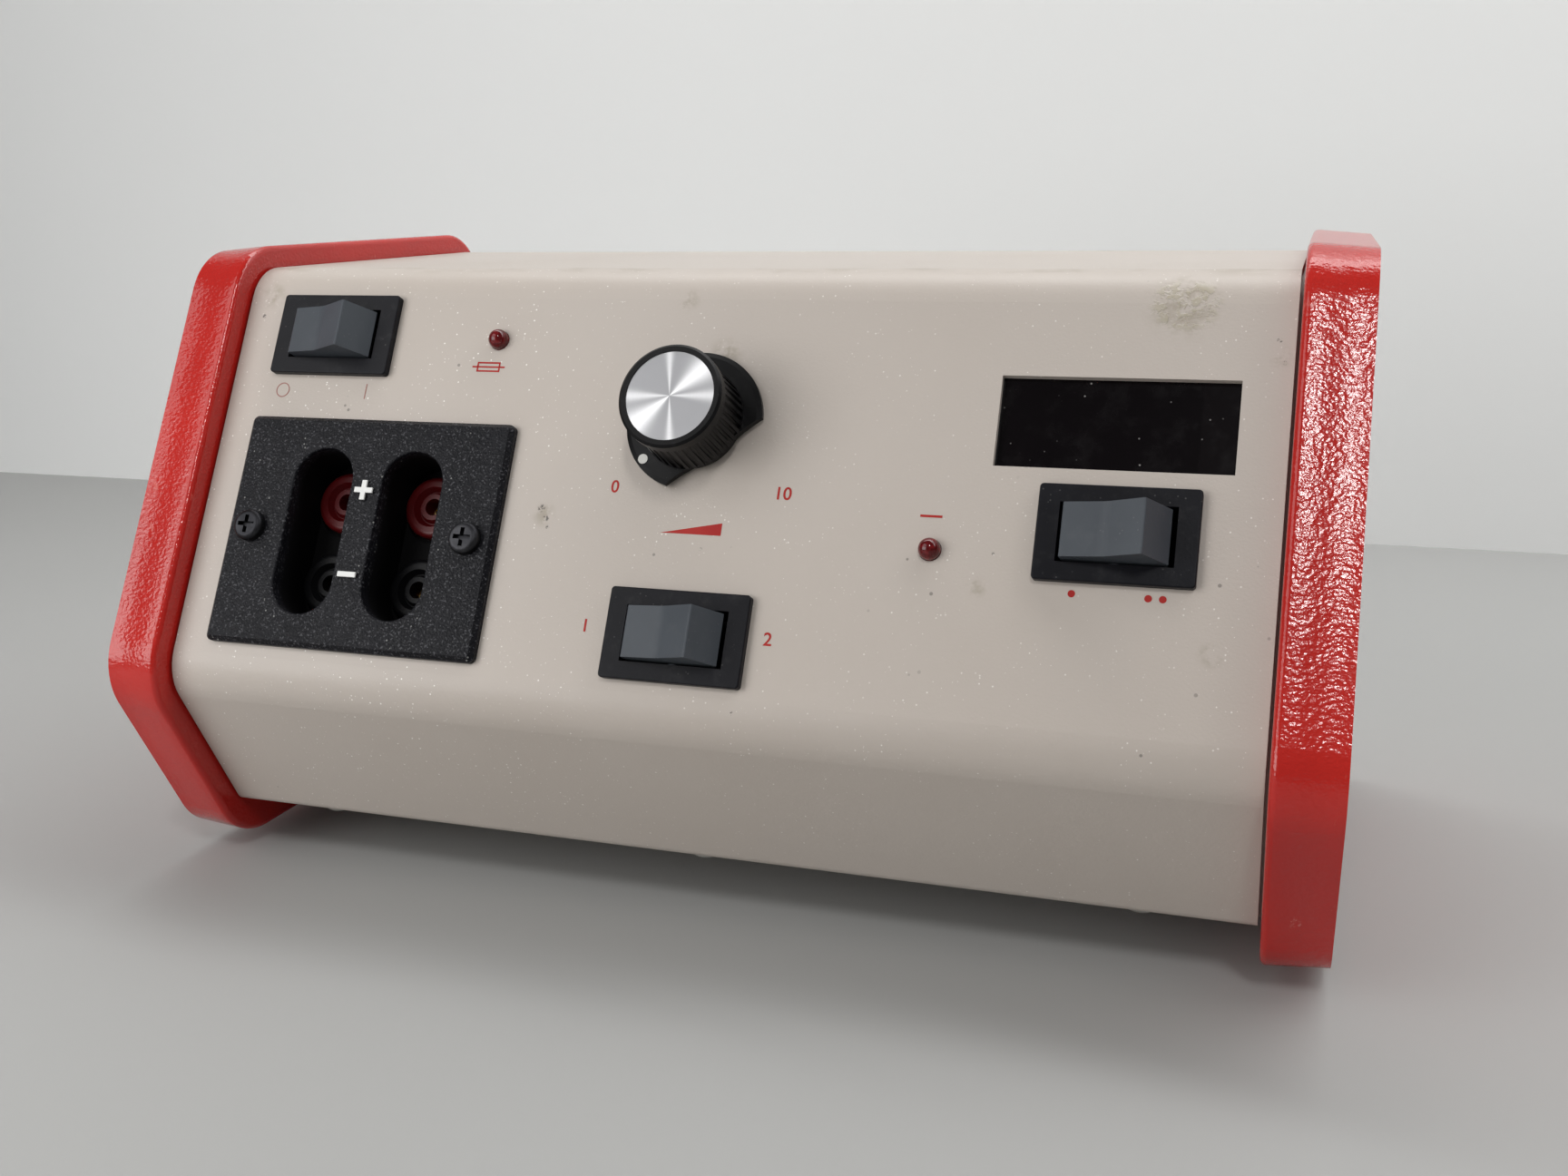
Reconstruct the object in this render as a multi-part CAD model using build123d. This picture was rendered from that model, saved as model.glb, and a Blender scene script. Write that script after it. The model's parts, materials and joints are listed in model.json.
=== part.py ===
from build123d import *
import math
import os

# Bench power supply with a sloping control panel between two folded end cheeks.
# Millimetres. X runs along the case, the panel faces -Y, Z is up and the feet stand on Z = 0.

# Case outline, seen from the end
CASE_DEPTH = 179.0
CASE_RISE = 157.7
FOLD_RISE = 53.8
PANEL_ANGLE = 62.0
LOWER_ANGLE = 61.6
GROUND_GAP = 4.0

# End cheeks, folded outwards and slightly drawn in towards the free edge
CHEEK_SPAN = 266.4
CHEEK_FLANGE = 14.9
CHEEK_TAPER = 1.3
CHEEK_SHEET = 1.2
CHEEK_CORNER_R = 19.0
CHEEK_BEND_R = 1.5
CHEEK_SCREW_LOW_FRONT = (42.0, 40.0)
CHEEK_SCREW_LOW_REAR = (24.0, 32.0)
CHEEK_SCREW_HIGH_FRONT = (13.5, 24.0)
CHEEK_SCREW_HIGH_REAR = (24.0, 24.0)

# Wrap-round cover
COVER_INSET = 5.9
COVER_LIFT = 12.1
COVER_SHEET = 1.8
COVER_END_GAP = 0.8
COVER_BEND_R = 13.0
COVER_REAR_BEND_R = 6.0
COVER_LIP_BEND_R = 3.4
COVER_LIP = 12.0
COVER_REAR_LIP = 14.0

# Chassis tray
TRAY_SHEET = 1.5
TRAY_FIT = 0.4
TRAY_BEND_R = 1.2
VENT_COUNT = 9
VENT_PITCH = 9.0
VENT_WIDTH = 3.2
VENT_LENGTH = 32.0
VENT_DROP = 48.0

# Feet
FOOT_SIDE_INSET = 21.0
FOOT_FRONT_INSET = 82.0
FOOT_REAR_INSET = 26.0
FOOT_R = 9.5
FOOT_TAPER = 1.0
FOOT_WELL_R = 4.6
FOOT_WELL_DEPTH = 9.0

# Threads and fasteners, with the clearance round each shank
M3_R = 1.5
M4_R = 2.0
HOLE_CLEAR = 0.15
THREAD_CLEAR = 0.04
M4_HEAD_R = 4.0
M4_HEAD_H = 2.5
M4_NUT_FLATS = 7.0
M4_NUT_H = 3.2
M3_HEAD_R = 2.75
M3_HEAD_H = 1.9
M3_NUT_FLATS = 5.5
M3_NUT_H = 2.4
RECESS_WIDTH = 1.1
RECESS_SHARE = 0.6
NUT_STANDOUT = 1.0

# Places on the panel: in from the cheek beside them, or along from the middle, and up the slope
POWER_SWITCH_INSET = 29.7
POWER_SWITCH_UP = 36.6
RANGE_SWITCH_X = 2.6
RANGE_SWITCH_UP = -35.3
READOUT_SWITCH_INSET = 34.3
READOUT_SWITCH_UP = -5.8
FUSE_LAMP_INSET = 76.6
FUSE_LAMP_UP = 36.3
CURRENT_LAMP_INSET = 74.4
CURRENT_LAMP_UP = -11.1
KNOB_X = -0.7
KNOB_UP = 16.4
WINDOW_INSET = 36.9
WINDOW_UP = 19.5
BLOCK_INSET = 48.5
BLOCK_UP = -15.9

# Rocker switches
BEZEL_LENGTH = 34.3
BEZEL_HEIGHT = 21.5
BEZEL_RISE = 2.0
BEZEL_CORNER_R = 0.9
BEZEL_EDGE_R = 0.35
SWITCH_LENGTH = 27.0
SWITCH_HEIGHT = 15.9
SWITCH_DEPTH = 17.0
SWITCH_CUT_CLEAR = 0.2
WELL_LENGTH = 24.9
WELL_HEIGHT = 13.3
WELL_FLOOR = 9.5
WEDGE_RISE = 0.9
WEDGE_DEPTH = 3.4
WEDGE_HEIGHT = 6.0
ROCKER_HEIGHT = 12.1
ROCKER_TILT = 18.5
ROCKER_VALLEY = 6.9
ROCKER_RIDGE = (9.4, 8.3)
ROCKER_END = (11.5, -1.0)
ROCKER_KEEL = (8.6, -4.0)
ROCKER_EDGE_R = 0.5
ROCKER_VALLEY_R = 9.0
PIVOT_W = -1.0
PIVOT_R = 1.3
PIVOT_LENGTH = 1.4
PIVOT_CLEAR = 0.05
TAB_WIDTH = 6.3
TAB_THICK = 0.8
TAB_LENGTH = 8.0
TAB_PITCH = 8.5

# Indicator lamps
LAMP_R = 2.5
LAMP_TOP = 3.3
LAMP_DEPTH = 5.4
LAMP_FLANGE_R = 2.95
LAMP_FLANGE_H = 1.0
LAMP_HOLE_CLEAR = 0.1
LAMP_CLIP_R = 4.2
LAMP_CLIP_H = 3.0
LAMP_LEAD_R = 0.3
LAMP_LEAD_LENGTH = 9.0
LAMP_LEAD_PITCH = 2.54

# Voltage knob and its potentiometer
SKIRT_R = 16.85
SKIRT_LOW = 1.0
SKIRT_THICK = 1.7
SKIRT_GAP_START = 254.0
SKIRT_GAP_END = 363.5
GAP_DEPTH = 0.98
GAP_EASE = 24.0
GAP_HOLLOW = 0.3
KNOB_BODY_R = 11.9
KNOB_NECK = 14.8
KNOB_RING_R = 12.4
KNOB_TOP = 18.3
KNOB_FLUTES = 40
FLUTE_R = 0.55
CAP_R = 10.6
CAP_SHEET = 0.6
CAP_DROP = 0.25
KNOB_HOLLOW_R = 9.2
KNOB_HOLLOW_TOP = 6.4
DOT_R = 1.2
DOT_REACH = 15.0
DOT_ANGLE = 223.0
DOT_SINK = 0.5
SHAFT_R = 3.175
SHAFT_TOP = 14.0
SHAFT_CLEAR = 0.05
SET_SCREW_R = 1.5
BUSH_R = 4.7
BUSH_TOP = 5.4
POT_R = 12.0
POT_DEPTH = 12.0
POT_NUT_FLATS = 13.0
POT_NUT_H = 2.2
POT_LUG_PITCH = 5.0
POT_LUG = (2.0, 0.6, 7.0)

# Digital readout behind the panel window
WINDOW_LENGTH = 51.5
WINDOW_HEIGHT = 21.2
FILTER_LAP = 2.4
FILTER_SHEET = 2.0
DIGIT_COUNT = 4
DIGIT_WIDTH = 12.4
DIGIT_PITCH = 12.6
DIGIT_HEIGHT = 19.0
DIGIT_DEPTH = 8.0
DIGIT_GAP = 0.2
BOARD_SHEET = 1.6
READOUT_BOARD_LENGTH = 68.0
READOUT_BOARD_HEIGHT = 29.0
PILLAR_R = 2.5
PILLAR_INSET = 3.0

# Output terminal moulding
BLOCK_LENGTH = 75.4
BLOCK_HEIGHT = 59.3
BLOCK_RISE = 2.6
BLOCK_CHAMFER = 1.1
BLOCK_CORNER_R = 1.6
BLOCK_WALL = 2.2
BLOCK_CUT_CLEAR = 0.25
SLOT_PITCH = 25.4
SLOT_WIDTH = 16.7
SLOT_LENGTH = 42.8
SLOT_DEPTH = 14.6
SLOT_FLOOR = 2.4
SLOT_LIP_R = 0.5
BLOCK_SCREW_REACH = 30.6
SOCKET_PITCH = 21.6
SOCKET_R = 8.0
SOCKET_RIM = 3.2
SOCKET_RING_R = 1.4
SOCKET_DISH = 1.6
SOCKET_BOSS_R = 3.9
SOCKET_BOSS = 2.8
SOCKET_SHANK_R = 4.0
SOCKET_SHANK = 14.0
SOCKET_MOUTH_R = 2.2
SOCKET_MOUTH = 5.0
CONTACT_BORE_R = 2.02
CONTACT_R = 2.8
CONTACT_TAIL = 4.0
CONTACT_FIT = 0.02
SOCKET_NUT_FLATS = 11.0
SOCKET_NUT_H = 3.0
SIGN_RISE = 0.8
SIGN_LENGTH = 5.0
SIGN_BAR = 1.3

# Mains inlet on the rear wall
INLET_INSET = 49.0
INLET_RISE = 42.0
INLET_FLANGE = (49.0, 23.0, 2.6)
INLET_FLANGE_R = 5.0
INLET_BODY = (27.0, 19.6, 25.0)
INLET_WELL = (24.2, 16.6, 16.5)
INLET_WELL_CUT = 4.5
INLET_SCREW_REACH = 20.0
INLET_PIN = (2.0, 4.0, 15.0)
INLET_PIN_REACH = 7.0
INLET_PIN_RISE = 4.0
INLET_TAB = (6.3, 0.8, 9.0)

# Fuse holder on the rear wall
FUSE_FROM_INLET = 44.0
HOLDER_FLANGE_R = 9.0
HOLDER_FLANGE_H = 2.4
HOLDER_R = 6.3
HOLDER_DEPTH = 36.0
HOLDER_BORE_R = 4.6
HOLDER_MOUTH_DEPTH = 9.0
HOLDER_TUBE_R = 3.4
HOLDER_NUT_FLATS = 17.0
HOLDER_NUT_H = 3.5
FUSE_CAP_R = 7.2
FUSE_CAP_H = 4.9
FUSE_CAP_GAP = 0.3
FUSE_CAP_RIBS = 18
FUSE_NECK = 7.0
FUSE_SLOT = (1.4, 1.2)
FUSE_R = 2.6
FUSE_LENGTH = 20.0
FUSE_SEAT = 3.0
FUSE_FIT = 0.03

# Mains transformer
CORE_SHARE = 0.23
CORE_REAR_INSET = 54.0
CORE = (78.0, 40.0, 64.0)
CORE_LEG = 13.0
CORE_BRIDGE = 12.5
COIL_BULGE = 13.0
COIL_FIT = 0.3
COIL_EDGE_R = 5.0
BRACKET_SHEET = 2.0
BRACKET_RISE = 11.5
BRACKET_FOOT = 12.0
BRACKET_MID_GAP = 1.0
CORE_BOLT_INSET = 6.0

# Main circuit board
BOARD_SHARE = -0.197
BOARD_FRONT_INSET = 45.5
BOARD_REAR_INSET = 49.5
BOARD_LENGTH = 116.0
STANDOFF_R = 3.0
STANDOFF_H = 8.0
STANDOFF_INSET = 5.0
CAPACITOR_R = 12.5
CAPACITOR_H = 36.0
CAPACITOR_EDGE_R = 1.5
CAPACITOR_INSET = (14.0, 26.0)
CAPACITOR_PITCH = 28.0
SINK_GAP = 4.5
SINK_SIDE_INSET = 11.0
SINK_REAR_INSET = 24.0
SINK_DEPTH = 22.0
SINK_HEIGHT = 38.0
SINK_FINS = 7
SINK_WEB = 4.0
SINK_FIN = 2.2
TRANSISTOR = (10.2, 4.6, 16.0)
TRANSISTOR_PITCH = 20.0
TRANSISTOR_RISE = 12.0
TRANSISTOR_LEG = (0.8, 0.5)
TRANSISTOR_LEG_PITCH = 2.54
HEADER = (20.0, 8.0, 9.0)
HEADER_INSET = (14.0, 12.0)

# Readout lead, from the header to the back of the readout board
LEAD_R = 2.0
LEAD_PLUG = (14.0, 7.0, 8.0)
LEAD_TAIL = 22.0
LEAD_TURN = (16.0, 18.0, 34.0)
LEAD_RISE = 20.0
LEAD_CLIMB = (16.0, 8.0, 38.0)

# Worked out from the values above
CHEEK_X = CHEEK_SPAN / 2
COVER_X = CHEEK_X - COVER_END_GAP
FOLD_HALF_ANGLE = math.radians((PANEL_ANGLE + LOWER_ANGLE) / 2)
FOLD_LEAN = math.radians((PANEL_ANGLE - LOWER_ANGLE) / 2)
NOSE_CUT = CHEEK_CORNER_R * (math.cos(FOLD_LEAN) / math.sin(FOLD_HALF_ANGLE) - 1)
REAR_Y = (CASE_DEPTH - NOSE_CUT) / 2
FRONT_Y = REAR_Y - CASE_DEPTH
TOP_Z = GROUND_GAP + CASE_RISE
COVER_LOW_Z = GROUND_GAP + COVER_LIFT
TRAY_Z = COVER_LOW_Z + COVER_SHEET
FLOOR_Z = TRAY_Z + TRAY_SHEET
COVER_REAR_Y = REAR_Y - COVER_INSET
TRAY_REAR_Y = COVER_REAR_Y - COVER_SHEET
COVER_TOP_Z = TOP_Z - COVER_INSET
BOARD_TOP_Z = FLOOR_Z + STANDOFF_H + BOARD_SHEET
SWITCH_SPOTS = {
    "power": (POWER_SWITCH_INSET - CHEEK_X, POWER_SWITCH_UP),
    "range": (RANGE_SWITCH_X, RANGE_SWITCH_UP),
    "readout": (CHEEK_X - READOUT_SWITCH_INSET, READOUT_SWITCH_UP),
}
LAMP_SPOTS = {
    "fuse": (FUSE_LAMP_INSET - CHEEK_X, FUSE_LAMP_UP),
    "current": (CHEEK_X - CURRENT_LAMP_INSET, CURRENT_LAMP_UP),
}
KNOB_SPOT = (KNOB_X, KNOB_UP)
WINDOW_SPOT = (CHEEK_X - WINDOW_INSET, WINDOW_UP)
BLOCK_SPOT = (BLOCK_INSET - CHEEK_X, BLOCK_UP)
INLET_X = INLET_INSET - CHEEK_X
INLET_Z = GROUND_GAP + INLET_RISE
FUSE_X = INLET_X + FUSE_FROM_INLET
FUSE_Z = INLET_Z
CORE_X = CHEEK_SPAN * CORE_SHARE
CORE_Y = REAR_Y - CORE_REAR_INSET
VENT_Z = TOP_Z - VENT_DROP
BOARD_X = CHEEK_SPAN * BOARD_SHARE
BOARD_FRONT_Y = FRONT_Y + BOARD_FRONT_INSET
BOARD_REAR_Y = REAR_Y - BOARD_REAR_INSET
BOARD_LEFT_X = BOARD_X - BOARD_LENGTH / 2
BOARD_RIGHT_X = BOARD_X + BOARD_LENGTH / 2
CAPACITOR_Y = BOARD_REAR_Y - CAPACITOR_INSET[1]
SINK_LEFT_X = BOARD_LEFT_X + CAPACITOR_INSET[0] + CAPACITOR_PITCH + CAPACITOR_R + SINK_GAP
SINK_RIGHT_X = BOARD_RIGHT_X - SINK_SIDE_INSET
SINK_SPOT = ((SINK_LEFT_X + SINK_RIGHT_X) / 2, BOARD_REAR_Y - SINK_REAR_INSET)
HEADER_SPOT = (BOARD_RIGHT_X - HEADER_INSET[0], BOARD_FRONT_Y + HEADER_INSET[1])


def lean(degrees):
    """Run per unit of rise for a face at this angle to the floor."""
    return 1 / math.tan(math.radians(degrees))


def case_outline():
    """Cheek outline as (y, z) corners: lower front, lower rear, top rear, top front, front fold."""
    upper_rise = CASE_RISE - FOLD_RISE
    return [
        (FRONT_Y + FOLD_RISE * lean(LOWER_ANGLE), GROUND_GAP),
        (REAR_Y, GROUND_GAP),
        (REAR_Y, TOP_Z),
        (FRONT_Y + upper_rise * lean(PANEL_ANGLE), TOP_Z),
        (FRONT_Y, GROUND_GAP + FOLD_RISE),
    ]


def inset(corners, gaps):
    """Move each side of a closed outline inwards by its own gap: bottom, rear, top, panel, lower."""
    lines = []
    for (y1, z1), (y2, z2), gap in zip(corners, corners[1:] + corners[:1], gaps):
        dy = y2 - y1
        dz = z2 - z1
        length = math.hypot(dy, dz)
        lines.append((y1 - gap * dz / length, z1 + gap * dy / length, dy, dz))
    moved = []
    for (ya, za, da, ea), (yb, zb, db, eb) in zip(lines[-1:] + lines[:-1], lines):
        reach = ((yb - ya) * eb - (zb - za) * db) / (da * eb - ea * db)
        moved.append((ya + reach * da, za + reach * ea))
    return moved


def rounded_face(corners, radii):
    """Flat face through the corners, each rounded by its own radius."""
    face = make_face(Polyline(*corners, close=True))
    for corner, radius in zip(corners, radii):
        if radius > 0:
            vertex = face.vertices().sort_by_distance((corner[0], corner[1], 0))[0]
            face = fillet(vertex, radius)
    return face


def along_x(face, x1, x2):
    """Prism of a (y, z) face between two x values."""
    return Plane.YZ.offset(x1) * extrude(face, x2 - x1)


def block(x1, x2, y1, y2, z1, z2):
    """Box between two corners."""
    return Pos((x1 + x2) / 2, (y1 + y2) / 2, (z1 + z2) / 2) * Box(x2 - x1, y2 - y1, z2 - z1)


def rod(radius, low, high, x=0.0, y=0.0):
    """Cylinder along Z between two heights."""
    return Pos(x, y, (low + high) / 2) * Cylinder(radius, high - low)


def spun(points):
    """Solid turned about Z from (radius, height) points."""
    return revolve(make_face(Polyline(*[(r, 0, h) for r, h in points], close=True)), Axis.Z)


COVER_GAPS = [COVER_LIFT, COVER_INSET, COVER_INSET, COVER_INSET, COVER_INSET]


def cover_outline():
    """Outer face of the cover sheet."""
    return inset(case_outline(), COVER_GAPS)


def tray_outline():
    """Outer face of the tray, which fits inside the cover."""
    fit = COVER_SHEET + TRAY_FIT
    return inset(cover_outline(), [COVER_SHEET, COVER_SHEET, fit, fit, fit])


def panel_plane():
    """Plane on the panel's outer face: x along the case, y up the slope, z out of the panel."""
    top = cover_outline()[3]
    fold = cover_outline()[4]
    rise = math.radians(PANEL_ANGLE)
    centre = (0, (top[0] + fold[0]) / 2, (top[1] + fold[1]) / 2)
    return Plane(origin=centre, x_dir=(1, 0, 0), z_dir=(0, -math.sin(rise), math.cos(rise)))


PANEL = panel_plane()
REAR = Plane(origin=(0, TRAY_REAR_Y, 0), x_dir=(-1, 0, 0), z_dir=(0, 1, 0))


def on_panel(spot, shape):
    """Put a shape made at the origin at a place on the panel."""
    return PANEL * Pos(spot[0], spot[1], 0) * shape


def on_rear(x, z, shape):
    """Put a shape made at the origin on the rear wall, facing backwards."""
    return REAR * Pos(-x, z, 0) * shape


def pan_screw(shank_r, head_r, head_h, length):
    """Pan-head screw with a cross recess: the head stands on Z = 0, the shank hangs below."""
    head = fillet(rod(head_r, 0, head_h).edges().group_by(Axis.Z)[-1], head_h * 0.55)
    deep = head_h * RECESS_SHARE
    arm = head_r * 1.15
    cross = Pos(0, 0, head_h - deep / 2) * (Box(arm, RECESS_WIDTH, deep) + Box(RECESS_WIDTH, arm, deep))
    return head - cross + rod(shank_r, -length, 0)


def m4_screw(length):
    return pan_screw(M4_R, M4_HEAD_R, M4_HEAD_H, length)


def m3_screw(length):
    return pan_screw(M3_R, M3_HEAD_R, M3_HEAD_H, length)


def hex_nut(flats, height, shank_r):
    """Hexagon nut standing on Z = 0."""
    hexagon = extrude(RegularPolygon(flats / 2, 6, major_radius=False), height)
    return hexagon - rod(shank_r + THREAD_CLEAR, -1, height + 1)


def group(shapes):
    """Separate solids kept together, or the one solid by itself."""
    solids = [solid for shape in shapes for solid in shape.solids()]
    return solids[0] if len(solids) == 1 else Compound(children=solids)


# Panel openings

def panel_openings():
    """Everything that is cut through the sloping face of the cover."""
    depth = 3 * COVER_SHEET
    cuts = []
    for spot in SWITCH_SPOTS.values():
        length = SWITCH_LENGTH + 2 * SWITCH_CUT_CLEAR
        height = SWITCH_HEIGHT + 2 * SWITCH_CUT_CLEAR
        cuts.append(on_panel(spot, Box(length, height, depth)))
    for spot in LAMP_SPOTS.values():
        cuts.append(on_panel(spot, Cylinder(LAMP_R + LAMP_HOLE_CLEAR, depth)))
    cuts.append(on_panel(KNOB_SPOT, Cylinder(BUSH_R + HOLE_CLEAR, depth)))
    cuts.append(on_panel(WINDOW_SPOT, Box(WINDOW_LENGTH, WINDOW_HEIGHT, depth)))
    back_length, back_height = block_back_size()
    cuts.append(on_panel(BLOCK_SPOT, Box(back_length + 2 * BLOCK_CUT_CLEAR,
                                         back_height + 2 * BLOCK_CUT_CLEAR, depth)))
    for side in (-1, 1):
        spot = (BLOCK_SPOT[0] + side * BLOCK_SCREW_REACH, BLOCK_SPOT[1])
        cuts.append(on_panel(spot, Cylinder(M4_R + HOLE_CLEAR, depth)))
    return cuts


# Case

def cheek_hole_spots():
    """Screw places on the cheek's plate, each from the corner of the case that it stands by."""
    top_front_y = case_outline()[3][0]
    return [
        (FRONT_Y + CHEEK_SCREW_LOW_FRONT[0], GROUND_GAP + CHEEK_SCREW_LOW_FRONT[1]),
        (REAR_Y - CHEEK_SCREW_LOW_REAR[0], GROUND_GAP + CHEEK_SCREW_LOW_REAR[1]),
        (top_front_y + CHEEK_SCREW_HIGH_FRONT[0], TOP_Z - CHEEK_SCREW_HIGH_FRONT[1]),
        (REAR_Y - CHEEK_SCREW_HIGH_REAR[0], TOP_Z - CHEEK_SCREW_HIGH_REAR[1]),
    ]


def drawn_in(face, x, length):
    """Prism of a (y, z) face from an x value outwards, drawn in like the cheek's flange."""
    taper = math.degrees(math.atan(CHEEK_TAPER / CHEEK_FLANGE))
    return Plane.YZ.offset(x) * extrude(face, length, taper=taper)


def right_cheek():
    """End plate with a flange folded outwards all round."""
    outline = case_outline()
    radii = [CHEEK_CORNER_R] * 5
    plate = drawn_in(rounded_face(outline, radii), CHEEK_X, CHEEK_FLANGE)
    plate = fillet(plate.faces().sort_by(Axis.X)[0].edges(), CHEEK_BEND_R)
    inner_radii = [CHEEK_CORNER_R - CHEEK_SHEET] * 5
    inner = rounded_face(inset(outline, [CHEEK_SHEET] * 5), inner_radii)
    dish = drawn_in(inner, CHEEK_X + CHEEK_SHEET, CHEEK_FLANGE)
    dish = fillet(dish.faces().sort_by(Axis.X)[0].edges(), CHEEK_BEND_R - CHEEK_SHEET)
    plate -= dish
    for y, z in cheek_hole_spots():
        plate -= Pos(CHEEK_X, y, z) * Rot(0, 90, 0) * Cylinder(M4_R + HOLE_CLEAR, 4 * CHEEK_SHEET)
    return plate


def cheek_fasteners():
    """Screws through both cheeks into nuts inside the tray."""
    grip = CHEEK_SHEET + TRAY_SHEET
    length = grip + M4_NUT_H + NUT_STANDOUT
    screws = []
    nuts = []
    for side in (-1, 1):
        for y, z in cheek_hole_spots():
            turn = Rot(0, side * 90, 0)
            screws.append(Pos(side * (CHEEK_X + CHEEK_SHEET), y, z) * turn * m4_screw(length))
            nut = hex_nut(M4_NUT_FLATS, M4_NUT_H, M4_R)
            nuts.append(Pos(side * (CHEEK_X - TRAY_SHEET - M4_NUT_H), y, z) * turn * nut)
    return group(screws + nuts)


def cover_screw_spots():
    """Cover screws: x places along the rear lip and along the lower lip."""
    reach = CHEEK_SPAN * 0.4
    return [-reach, 0.0, reach]


def lip_screw_y():
    return cover_outline()[0][0] + COVER_LIP * 0.55 + COVER_SHEET


def rear_lip_screw_z():
    return COVER_TOP_Z - COVER_REAR_LIP * 0.62


def front_cover():
    """One sheet: lower lip, lower front, panel, top and rear lip."""
    outer = cover_outline()
    inner = inset(outer, [COVER_SHEET] * 5)
    outer_radii = [COVER_LIP_BEND_R, 0, COVER_REAR_BEND_R, COVER_BEND_R, COVER_BEND_R]
    inner_radii = [max(radius - COVER_SHEET, 0) for radius in outer_radii]
    cover = along_x(rounded_face(outer, outer_radii), -COVER_X, COVER_X)
    cover -= along_x(rounded_face(inner, inner_radii), -COVER_X - 1, COVER_X + 1)
    lip_y = outer[0][0] + COVER_LIP
    lip_z = COVER_TOP_Z - COVER_REAR_LIP
    wide = CHEEK_SPAN
    cover -= block(-wide, wide, lip_y, REAR_Y, GROUND_GAP, TRAY_Z + 0.5)
    cover -= block(-wide, wide, TRAY_REAR_Y - 0.5, REAR_Y, GROUND_GAP, lip_z)
    for cut in panel_openings():
        cover -= cut
    for x in cover_screw_spots():
        cover -= rod(M4_R + HOLE_CLEAR, GROUND_GAP, TRAY_Z + 1, x, lip_screw_y())
        cover -= on_rear(x, rear_lip_screw_z(), Cylinder(M4_R + HOLE_CLEAR, 4 * COVER_SHEET))
    return cover


def tray_holes():
    """Everything that is cut through the tray, apart from the vents."""
    cuts = []
    through = 4 * TRAY_SHEET
    screw_hole = M4_R + HOLE_CLEAR
    for x in cover_screw_spots():
        cuts.append(Pos(x, lip_screw_y(), TRAY_Z) * Cylinder(screw_hole, through))
        cuts.append(on_rear(x, rear_lip_screw_z(), Cylinder(screw_hole, through)))
    for y, z in cheek_hole_spots():
        cuts.append(Pos(0, y, z) * Rot(0, 90, 0) * Cylinder(screw_hole, CHEEK_SPAN + 2))
    for x, y in foot_spots():
        cuts.append(Pos(x, y, TRAY_Z) * Cylinder(screw_hole, through))
    for x, y in bracket_screw_spots():
        cuts.append(Pos(x, y, TRAY_Z) * Cylinder(screw_hole, through))
    for x, y in standoff_spots():
        cuts.append(Pos(x, y, TRAY_Z) * Cylinder(M3_R + HOLE_CLEAR, through))
    length, height, _ = INLET_BODY
    fit = 2 * HOLE_CLEAR
    cuts.append(on_rear(INLET_X, INLET_Z, Box(length + fit, height + fit, through)))
    for side in (-1, 1):
        hole = Cylinder(M3_R + HOLE_CLEAR, through)
        cuts.append(on_rear(INLET_X + side * INLET_SCREW_REACH, INLET_Z, hole))
    cuts.append(on_rear(FUSE_X, FUSE_Z, Cylinder(HOLDER_R + HOLE_CLEAR, through)))
    return cuts


def chassis_tray():
    """Base, rear wall and both side walls, folded from one sheet."""
    outline = tray_outline()
    bend = COVER_BEND_R - COVER_SHEET - TRAY_FIT
    radii = [COVER_LIP_BEND_R - COVER_SHEET + TRAY_FIT, TRAY_BEND_R, COVER_REAR_BEND_R, bend, bend]
    tray = along_x(rounded_face(outline, radii), -CHEEK_X, CHEEK_X)
    open_side = -2 * COVER_INSET
    room = inset(outline, [TRAY_SHEET, TRAY_SHEET, open_side, open_side, open_side])
    tray -= along_x(make_face(Polyline(*room, close=True)), -CHEEK_X + TRAY_SHEET, CHEEK_X - TRAY_SHEET)
    for cut in tray_holes():
        tray -= cut
    vent = SlotOverall(VENT_LENGTH, VENT_WIDTH, rotation=90)
    slot = extrude(vent, 4 * TRAY_SHEET, both=True)
    for number in range(VENT_COUNT):
        x = CORE_X + (number - (VENT_COUNT - 1) / 2) * VENT_PITCH
        tray -= on_rear(x, VENT_Z, slot)
    return tray


def cover_screws():
    """Screws through the lower lip and the rear lip of the cover into the tray."""
    length = COVER_SHEET + TRAY_SHEET + 4 * NUT_STANDOUT
    screws = []
    for x in cover_screw_spots():
        screws.append(Pos(x, lip_screw_y(), COVER_LOW_Z) * Rot(180, 0, 0) * m4_screw(length))
        screws.append(on_rear(x, rear_lip_screw_z(), Pos(0, 0, COVER_SHEET) * m4_screw(length)))
    return group(screws)


def foot_spots():
    reach = CHEEK_X - FOOT_SIDE_INSET
    front = FRONT_Y + FOOT_FRONT_INSET
    rear = REAR_Y - FOOT_REAR_INSET
    return [(side * reach, y) for side in (-1, 1) for y in (front, rear)]


def rubber_feet():
    """Four feet under the tray, each with a well for its screw."""
    foot = spun([(0, 0), (FOOT_R, 0), (FOOT_R + FOOT_TAPER, TRAY_Z), (0, TRAY_Z)])
    foot = fillet(foot.edges().group_by(Axis.Z)[0], FOOT_TAPER)
    foot -= rod(FOOT_WELL_R, -1, FOOT_WELL_DEPTH)
    foot -= rod(M4_R + HOLE_CLEAR, 0, TRAY_Z + 1)
    return group([Pos(x, y, 0) * foot for x, y in foot_spots()])


def foot_screws():
    """Screws up through the feet, with nuts on the tray's floor."""
    length = TRAY_Z - FOOT_WELL_DEPTH + TRAY_SHEET + M4_NUT_H + NUT_STANDOUT
    screws = []
    nuts = []
    for x, y in foot_spots():
        screws.append(Pos(x, y, FOOT_WELL_DEPTH) * Rot(180, 0, 0) * m4_screw(length))
        nuts.append(Pos(x, y, FLOOR_Z) * hex_nut(M4_NUT_FLATS, M4_NUT_H, M4_R))
    return group(screws + nuts)


# Rocker switches

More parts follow.
